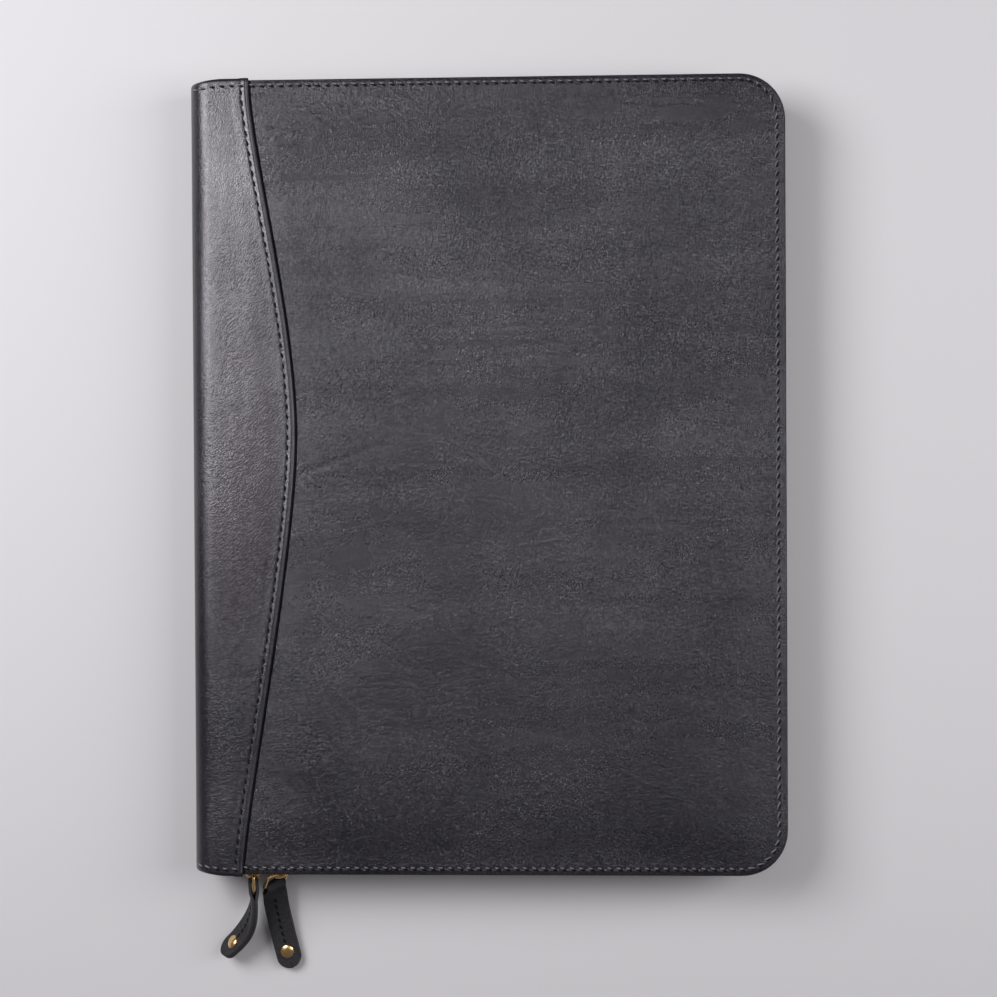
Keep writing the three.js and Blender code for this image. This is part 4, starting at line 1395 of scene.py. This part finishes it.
# %% Sweep a round wire
def wire_mesh(name, line, radius, closed, sides=12, up=None):
    line = [Vector(p) for p in line]
    count = len(line)
    rings = []
    reference = Vector(up) if up is not None else Vector((0, 0, 1))
    for index, point in enumerate(line):
        before = line[index - 1] if index or closed else point
        after = line[(index + 1) % count] if index < count - 1 or closed else point
        along = (after - before).normalized()
        side = along.cross(reference).normalized()
        rise = side.cross(along).normalized()
        thick = radius[index] if hasattr(radius, "__len__") else radius
        rings.append([point + side * math.cos(a) * thick + rise * math.sin(a) * thick
                      for a in np.linspace(0, 2 * math.pi, sides, endpoint=False)])
    vertices = [v for ring in rings for v in ring]
    faces = []
    for i in range(count if closed else count - 1):
        following = (i + 1) % count
        for j in range(sides):
            k = (j + 1) % sides
            faces.append((i * sides + j, i * sides + k, following * sides + k, following * sides + j))
    if not closed:
        faces.append(tuple(range(sides))[::-1])
        faces.append(tuple((count - 1) * sides + j for j in range(sides)))
    return object_from(name, vertices, faces)


def bent_loop(corners, radius, steps=6):
    """A closed line through the corners, with each corner rounded."""
    line = []
    count = len(corners)
    for index, corner in enumerate(corners):
        before, after = corners[index - 1], corners[(index + 1) % count]
        back = (before - corner).normalized()
        ahead = (after - corner).normalized()
        start, stop = corner + back * radius, corner + ahead * radius
        for t in np.linspace(0, 1, steps):
            line.append(start * (1 - t) ** 2 + corner * 2 * t * (1 - t) + stop * t ** 2)
    return line


WIRE = mm(0.65)


def ring_piece(pull):
    half = pull.bar * mm(5.5)
    normal = pull.bar.cross(pull.out).normalized()
    corners = [pull.top - half, pull.top + half, pull.end + half, pull.end - half]
    line = bent_loop(corners, mm(1.5))
    piece = wire_mesh("pull_ring_" + pull.side, line, WIRE, True, up=normal)
    clean_normals(piece)
    smooth(piece, 80)
    paint(piece, bright_brass)
    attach(piece, "ring_" + pull.side)
    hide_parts("ring_" + pull.side)
    return piece


for pull in (LEFT, RIGHT):
    ring_piece(pull)


# %% [markdown]
# ### Leather straps
#
# A strap's middle line leaves the ring, sags under its own weight and comes to rest on the surface. Its width
# turns gradually from the ring's bar to the way it lies. The strip itself follows that line twice: along the
# lower side, round the bar in a loop and back along the upper side.

# %% Strap lines
STRAP_WIDTH = mm(10.6)
NECK_WIDTH = mm(9.3)
LOOP_REACH = {"left": mm(3.0), "right": mm(0.1)}
LAYER = mm(1.28)


def strap_frames(pull, tip, sag, tip_width, turn_length, count=60):
    end = np.array(pull.end) * 1000
    out = np.array(pull.out)
    tip = np.array(tip, float)
    near = end + out * 8.6 + np.array(sag, float)
    far = tip + (near - tip) * 0.5
    far[2] = tip[2] + 0.6
    path = bezier([end, near, far, tip], np.linspace(0, 1, 200))
    lengths = np.concatenate([[0], np.cumsum(np.linalg.norm(np.diff(path, axis=0), axis=1))])
    at = np.linspace(0, lengths[-1], count)
    path = np.column_stack([np.interp(at, lengths, path[:, k]) for k in range(3)])
    along = np.gradient(path, axis=0)
    along /= np.linalg.norm(along, axis=1, keepdims=True)
    share = ease(at, 0, turn_length)[:, None]
    wide = np.array(pull.bar) * (1 - share) + np.array(tip_width, float) / np.linalg.norm(tip_width) * share
    wide -= along * (wide * along).sum(1, keepdims=True)
    wide /= np.linalg.norm(wide, axis=1, keepdims=True)
    normal = np.cross(wide, along)
    normal *= np.where(normal[-1, 2] < 0, -1, 1)
    return mm(1) * path, along, wide, normal, mm(1) * at


STRAPS = {
    "left": strap_frames(LEFT, (-118.7, -209.3, 5.8), (1.3, -6.8, -1), (-0.56, 0.26, -0.79), 24),
    "right": strap_frames(RIGHT, (-88.5, -216.0, 2.15), (1.2, -1, -2), (0.98, 0.19, 0), 9),
}
for side, frames in STRAPS.items():
    print(side, "strap is", round(1000 * frames[4][-1], 1), "mm long")


# %% Strap pieces
def at_place(frames, place):
    path, along, wide, normal, places = frames
    parts = (path, along, wide, normal)
    values = [np.array([np.interp(place, places, part[:, k]) for k in range(3)]) for part in parts]
    return values[0], values[1], values[2], values[3]


def strap_section(frames, place, offset, layer_side):
    """The layer's middle point and half width at a place along the strap."""
    point, along, wide, normal = at_place(frames, place)
    full = NECK_WIDTH + (STRAP_WIDTH - NECK_WIDTH) * float(ease(place, mm(1), mm(5.5)))
    rest = frames[4][-1] - place
    half = full / 2
    if rest < half:
        half = math.sqrt(max(0, half ** 2 - (half - rest) ** 2))
    return point + normal * offset * layer_side, wide, normal, along, half


def strap_strip(frames, loop_reach):
    """Stations of the strip: point, width direction, thickness direction, half width."""
    total = frames[4][-1]
    eye = WIRE + mm(0.25) + LAYER / 2
    closed = LAYER / 2 + mm(0.02)
    places = np.concatenate([total - np.array([0, 0.12, 0.35, 0.7, 1.2, 1.8, 2.6, 3.4, 4.2, 5.2]) * 0.001,
                             np.linspace(total - mm(6.4), mm(0.6), 30)])
    places[0] = total - mm(0.02)
    stations = []
    for side in (-1, 1):
        arm = []
        for place in places:
            open_share = 1 - float(ease(place, mm(0.4), mm(4.2)))
            offset = closed + (eye - closed) * open_share
            middle, wide, normal, along, half = strap_section(frames, place, offset, side)
            arm.append((middle, wide, normal * side, half))
        stations.append(arm)
    point, along, wide, normal = at_place(frames, 0.0)
    top = point - along * loop_reach
    loop = [(point - normal * eye, wide, -normal, NECK_WIDTH / 2)]
    for angle in np.radians(np.linspace(-90, 90, 13)):
        direction = -along * math.cos(angle) + normal * math.sin(angle)
        loop.append((top + direction * eye, wide, direction, NECK_WIDTH / 2))
    loop.append((point + normal * eye, wide, normal, NECK_WIDTH / 2))
    return stations[0] + loop + stations[1][::-1]


def strap_piece(pull):
    frames = STRAPS[pull.side]
    stations = strap_strip(frames, LOOP_REACH[pull.side])
    bevel = mm(0.16)
    thick = LAYER / 2
    rows = []
    for middle, wide, outward, half in stations:
        inner = max(half - bevel, half * 0.5)
        outline = [(-inner, thick), (-half, thick - bevel), (-half, -thick + bevel), (-inner, -thick),
                   (inner, -thick), (half, -thick + bevel), (half, thick - bevel), (inner, thick)]
        crown = mm(0.06)
        outline.append((0.0, thick + crown * min(1.0, half / mm(4))))
        outline.insert(4, (0.0, -thick))
        rows.append([middle + wide * a + outward * b for a, b in outline])
    piece = sheet_from_points("pull_strap_" + pull.side, np.array(rows), loop=True)
    mesh = bmesh.new()
    mesh.from_mesh(piece.data)
    for ring in (0, len(rows) - 1):
        size = len(rows[0])
        mesh.verts.ensure_lookup_table()
        mesh.faces.new([mesh.verts[ring * size + k] for k in range(size)])
    bmesh.ops.recalc_face_normals(mesh, faces=mesh.faces[:])
    mesh.to_mesh(piece.data)
    mesh.free()
    paint(piece, strap_leather)
    piece.data.materials.append(cut_edge)
    size = len(rows[0])
    for polygon in piece.data.polygons:
        columns = sorted(v % size for v in polygon.vertices)
        edge_face = set(columns) <= {1, 2} or set(columns) <= {6, 7} or len(columns) > 4
        polygon.material_index = 1 if edge_face else 0
    smooth(piece, 35)
    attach(piece, "strap_" + pull.side)
    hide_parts("strap_" + pull.side)
    return piece


for pull in (LEFT, RIGHT):
    strap_piece(pull)


# %% [markdown]
# ### Strap seams and rivets
#
# A single line of short stitches runs down the middle of the strap, from the loop to the rivet. The rivet is a
# domed cap on the upper side and a flat one below. It is turned from a profile, with a faint rim where the
# cap presses into the leather.

# %% Strap seams
def strap_seam(pull, start, stop):
    frames = STRAPS[pull.side]
    total = frames[4][-1]
    for label, side in (("upper", 1), ("lower", -1)):
        places = np.linspace(start, total - stop, 60)
        data = [at_place(frames, place) for place in places]
        offset = LAYER + mm(0.02)
        line = np.array([d[0] + d[3] * offset * side for d in data])
        ups = np.array([d[3] * side for d in data])

        def up_at(centres, line=line, ups=ups):
            nearest = np.argmin(((centres[:, None] - line[None]) ** 2).sum(-1), axis=1)
            return ups[nearest]

        seam("strap_seam_" + pull.side + "_" + label, line, "strap_" + pull.side, up=up_at, pitch=mm(3.2),
             length=mm(2.2), radius=mm(0.36), start=0, stop=0, sink=-mm(0.02), slant=0.3, yarn=shaded_thread)


for pull in (LEFT, RIGHT):
    strap_seam(pull, mm(7), mm(11))


# %% Rivets
RIVET_FROM_TIP = mm(7.8)


def turned(name, profile, sides=28):
    """A closed piece turned about Z from points of radius and height, the first and last on the axis."""
    vertices = [(0, 0, profile[0][1])]
    for radius, height in profile[1:-1]:
        for a in np.linspace(0, 2 * math.pi, sides, endpoint=False):
            vertices.append((radius * math.cos(a), radius * math.sin(a), height))
    vertices.append((0, 0, profile[-1][1]))
    faces = [(0, 1 + (j + 1) % sides, 1 + j) for j in range(sides)]
    for i in range(len(profile) - 3):
        for j in range(sides):
            k = (j + 1) % sides
            a, b = 1 + i * sides, 1 + (i + 1) * sides
            faces.append((a + j, a + k, b + k, b + j))
    last = 1 + (len(profile) - 3) * sides
    faces += [(last + j, last + (j + 1) % sides, len(vertices) - 1) for j in range(sides)]
    return object_from(name, vertices, faces)


def rivet_piece(pull):
    frames = STRAPS[pull.side]
    point, along, wide, normal = at_place(frames, frames[4][-1] - RIVET_FROM_TIP)
    face = LAYER + mm(0.04)
    radius = mm(3.0)
    profile = [(0, -face - mm(0.42)), (radius * 0.6, -face - mm(0.42)), (radius * 0.85, -face - mm(0.3)),
               (radius * 0.88, -face + mm(0.05)), (mm(1.0), -face + mm(0.1)), (mm(1.0), face - mm(0.1)),
               (radius * 0.93, face - mm(0.06)), (radius, face + mm(0.08)), (radius * 0.985, face + mm(0.22)),
               (radius * 0.9, face + mm(0.42)), (radius * 0.74, face + mm(0.66)), (radius * 0.52, face + mm(0.86)),
               (radius * 0.26, face + mm(0.98)), (0, face + mm(1.02))]
    piece = turned("pull_rivet_" + pull.side, profile)
    clean_normals(piece)
    turn = Matrix((wide, -along, normal)).transposed().to_4x4()
    piece.data.transform(Matrix.Translation(point) @ turn)
    smooth(piece, 50)
    paint(piece, bright_brass)
    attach(piece, "strap_" + pull.side)
    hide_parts("rivet_" + pull.side)
    return piece


for pull in (LEFT, RIGHT):
    rivet_piece(pull)


# %% [markdown]
# ## Inside
#
# Both covers are lined with thin leather over the board. The front has a document pocket and three card
# pockets, the back a sleeve that holds the pad's own cover, and a pen loop. Each is a flat patch with rounded
# corners, turned at its mouth and sewn at its other edges. A patch is a plane that is cut into a grid, shaped
# and thickened.

# %% Flat leather patches
PATCH_STEP = mm(4)


def patch_piece(name, node_name, body, out, corner, relief=None, thickness=None, material=None):
    """out is the way the patch faces, +1 up or -1 down. Its size and place come from the frame's solid."""
    low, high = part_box(node_name)
    depth = thickness or (high.z - low.z) * 0.92
    face = (high.z if out > 0 else low.z)
    nothing_selected()
    bpy.ops.mesh.primitive_grid_add(x_subdivisions=max(4, int((high.x - low.x) / PATCH_STEP)),
                                    y_subdivisions=max(4, int((high.y - low.y) / PATCH_STEP)), size=1)
    piece = take(name)
    piece.scale = (high.x - low.x, high.y - low.y, 1)
    piece.location = ((high.x + low.x) / 2, (high.y + low.y) / 2, 0)
    apply_place(piece)
    centre = Vector(((high.x + low.x) / 2, (high.y + low.y) / 2))
    half = Vector(((high.x - low.x) / 2, (high.y - low.y) / 2))
    for vertex in piece.data.vertices:
        x, y = vertex.co.x - centre.x, vertex.co.y - centre.y
        x, y = round_in(x, y, half, corner)
        inset = min(half.x - abs(x), half.y - abs(y))
        rise = -mm(0.25) * bump_at(inset, mm(2.6), mm(0.7)) - mm(0.3) * float(1 - ease(inset, 0, mm(1.2)))
        if relief:
            rise += relief(x, y, half)
        vertex.co = (centre.x + x, centre.y + y, face + out * rise)
    if out < 0:
        turn_faces(piece)
    add_modifier(piece, "SOLIDIFY", thickness=depth, offset=-1.0)
    smooth(piece, 50)
    paint(piece, material or lining_leather)
    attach(piece, body)
    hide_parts(node_name)
    return piece


def round_in(x, y, half, corner):
    """Moves a point of the square corner onto the rounded one: lines from the corner's centre are shortened."""
    along_x, along_y = abs(x) - (half.x - corner), abs(y) - (half.y - corner)
    if along_x <= 0 or along_y <= 0:
        return x, y
    longest = max(along_x, along_y)
    share = longest / math.hypot(along_x, along_y)
    x = math.copysign(half.x - corner + along_x * share, x)
    y = math.copysign(half.y - corner + along_y * share, y)
    return x, y


def patch_seam(name, node_name, body, out, inset, sides, depth=mm(0.3), pitch=mm(3.6)):
    """Stitches beside the edges named in sides: w, e, s and n."""
    low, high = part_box(node_name)
    z = (high.z - depth) if out > 0 else (low.z + depth)
    corners = {
        "w": [(low.x + inset, low.y + inset), (low.x + inset, high.y - inset)],
        "e": [(high.x - inset, low.y + inset), (high.x - inset, high.y - inset)],
        "s": [(low.x + inset, low.y + inset), (high.x - inset, low.y + inset)],
        "n": [(low.x + inset, high.y - inset), (high.x - inset, high.y - inset)],
    }
    parts = []
    for side in sides:
        line = [(x, y, z) for x, y in corners[side]]
        part = seam(name + "_" + side, line, None, up=(0, 0, out), pitch=pitch, length=mm(2.4), radius=mm(0.26),
                    start=mm(4), stop=mm(4), sink=-mm(0.02))
        parts.append(part)
    piece = join(name, parts)
    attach(piece, body)
    return piece


# %% Linings and pockets
patch_piece("inside_front", "front_lining", "front_cover", -1, mm(14))
patch_piece("inside_back", "back_lining", "back_cover", 1, mm(14))


def pocket_bulge(x, y, half):
    inside = float(ease(half.x - abs(x), 0, mm(22)) * ease(half.y - abs(y), 0, mm(22)))
    return -mm(0.12) * (1 - inside) - mm(0.1) * math.sin(x / mm(23)) * math.sin(y / mm(31)) * inside


patch_piece("inside_document_pocket", "document_pocket", "front_cover", -1, mm(8), pocket_bulge)
patch_seam("document_pocket_seam", "document_pocket", "front_cover", -1, mm(2.6), "wesn")
for count in (1, 2, 3):
    patch_piece(f"inside_card_pocket_{count}", f"card_pocket_{count}", "front_cover", -1, mm(4))
    patch_seam(f"card_pocket_seam_{count}", f"card_pocket_{count}", "front_cover", -1, mm(2.2), "wes")
patch_piece("inside_sleeve", "notebook_sleeve", "back_cover", 1, mm(6), pocket_bulge)
patch_seam("sleeve_seam", "notebook_sleeve", "back_cover", 1, mm(2.6), "wsn")


# %% [markdown]
# The spine is lined from inside with one narrow strip, which stands upright while the cover is closed. It
# is the same kind of patch, turned on its long side.

# %% Spine lining
def spine_lining_piece():
    low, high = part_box("spine_lining")
    nothing_selected()
    bpy.ops.mesh.primitive_grid_add(x_subdivisions=8, y_subdivisions=90, size=1)
    piece = take("inside_spine")
    height, length = high.z - low.z, high.y - low.y
    for vertex in piece.data.vertices:
        along, up = vertex.co.y * length, vertex.co.x * height
        inset = min(height / 2 - abs(up), length / 2 - abs(along))
        dip = mm(0.2) * float(1 - ease(inset, 0, mm(1.0)))
        vertex.co = (high.x - dip, along, (low.z + high.z) / 2 + up)
    mean = sum((polygon.normal.x for polygon in piece.data.polygons))
    if mean < 0:
        turn_faces(piece)
    add_modifier(piece, "SOLIDIFY", thickness=(high.x - low.x) * 0.9, offset=-1.0)
    smooth(piece, 50)
    paint(piece, lining_leather)
    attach(piece, "spine")
    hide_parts("spine_lining")


spine_lining_piece()


# %% [markdown]
# ### Pen loop
#
# The pen loop is a short band bent into a tube and sewn down at one side. Its wall follows a round section,
# thickened to the band's own thickness.

# %% Pen loop
PEN_RADIUS = mm(5.5)
PEN_WALL = mm(1.0)


def pen_loop_piece():
    low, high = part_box("pen_loop")
    centre_x = (low.x + high.x) / 2
    centre_z = high.z - PEN_RADIUS
    rows = []
    for y in np.linspace(low.y + mm(0.3), high.y - mm(0.3), 18):
        row = []
        edge = 1 - 0.06 * float(bump_at(abs(y - (low.y + high.y) / 2), (high.y - low.y) / 2, mm(1)))
        for angle in np.radians(np.linspace(-90, 270, 40, endpoint=False)):
            radius = PEN_RADIUS * edge
            row.append((centre_x + radius * math.cos(angle), y, centre_z + radius * math.sin(angle)))
        rows.append(row)
    piece = sheet_from_points("inside_pen_loop", np.array(rows), loop=True)
    outward = sum(((polygon.center - Vector((centre_x, polygon.center.y, centre_z))).dot(polygon.normal)
                   for polygon in piece.data.polygons))
    if outward < 0:
        turn_faces(piece)
    add_modifier(piece, "SOLIDIFY", thickness=PEN_WALL, offset=-1.0)
    smooth(piece, 50)
    paint(piece, lining_leather)
    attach(piece, "back_cover")
    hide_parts("pen_loop")


pen_loop_piece()


# %% [markdown]
# ### Boards
#
# The boards are millboard, dyed black. They are hidden while the cover is closed, and keep their own solids.

# %% Finishes for the solids that stay
def finish_node(name, material):
    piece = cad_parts[name]
    piece.data.materials.clear()
    piece.data.materials.append(material)


for name in ("front_board", "spine_board", "back_board"):
    finish_node(name, grey_board)
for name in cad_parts:
    if name.startswith(("zip_stop", "slider")):
        finish_node(name, zip_brass if name.startswith("zip_stop") else bright_brass)
print("shown solids:", sorted(n for n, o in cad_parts.items() if not o.hide_render))


# %% [markdown]
# ### Bails
#
# The bail is a stout brass arch, thickest at its crown, cast in one with the slider's plate. It is swept
# from the frame's own height and length.

# %% Bail arches
BAIL_WIRE = mm(0.95)


def bail_piece(pull):
    low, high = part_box("bail_" + pull.side)
    plate_y, reach = high.y, high.y - low.y - BAIL_WIRE
    half = (high.x - low.x) / 2 - BAIL_WIRE + mm(0.5)
    line = []
    for angle in np.radians(np.linspace(0, 180, 25)):
        across = math.copysign(abs(math.cos(angle)) ** 0.8, math.cos(angle))
        line.append((pull.place_x + half * across, plate_y + mm(0.3) - (reach + mm(0.3)) * math.sin(angle) ** 0.8,
                     MID_Z))
    thick = [BAIL_WIRE * (0.88 + 0.12 * math.sin(angle)) for angle in np.linspace(0, math.pi, 25)]
    piece = wire_mesh("slider_bail_" + pull.side, line, thick, False, up=(0, 0, 1))
    clean_normals(piece)
    smooth(piece, 80)
    paint(piece, bright_brass)
    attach(piece, "slider_" + pull.side)
    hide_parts("bail_" + pull.side)


for pull in (LEFT, RIGHT):
    bail_piece(pull)
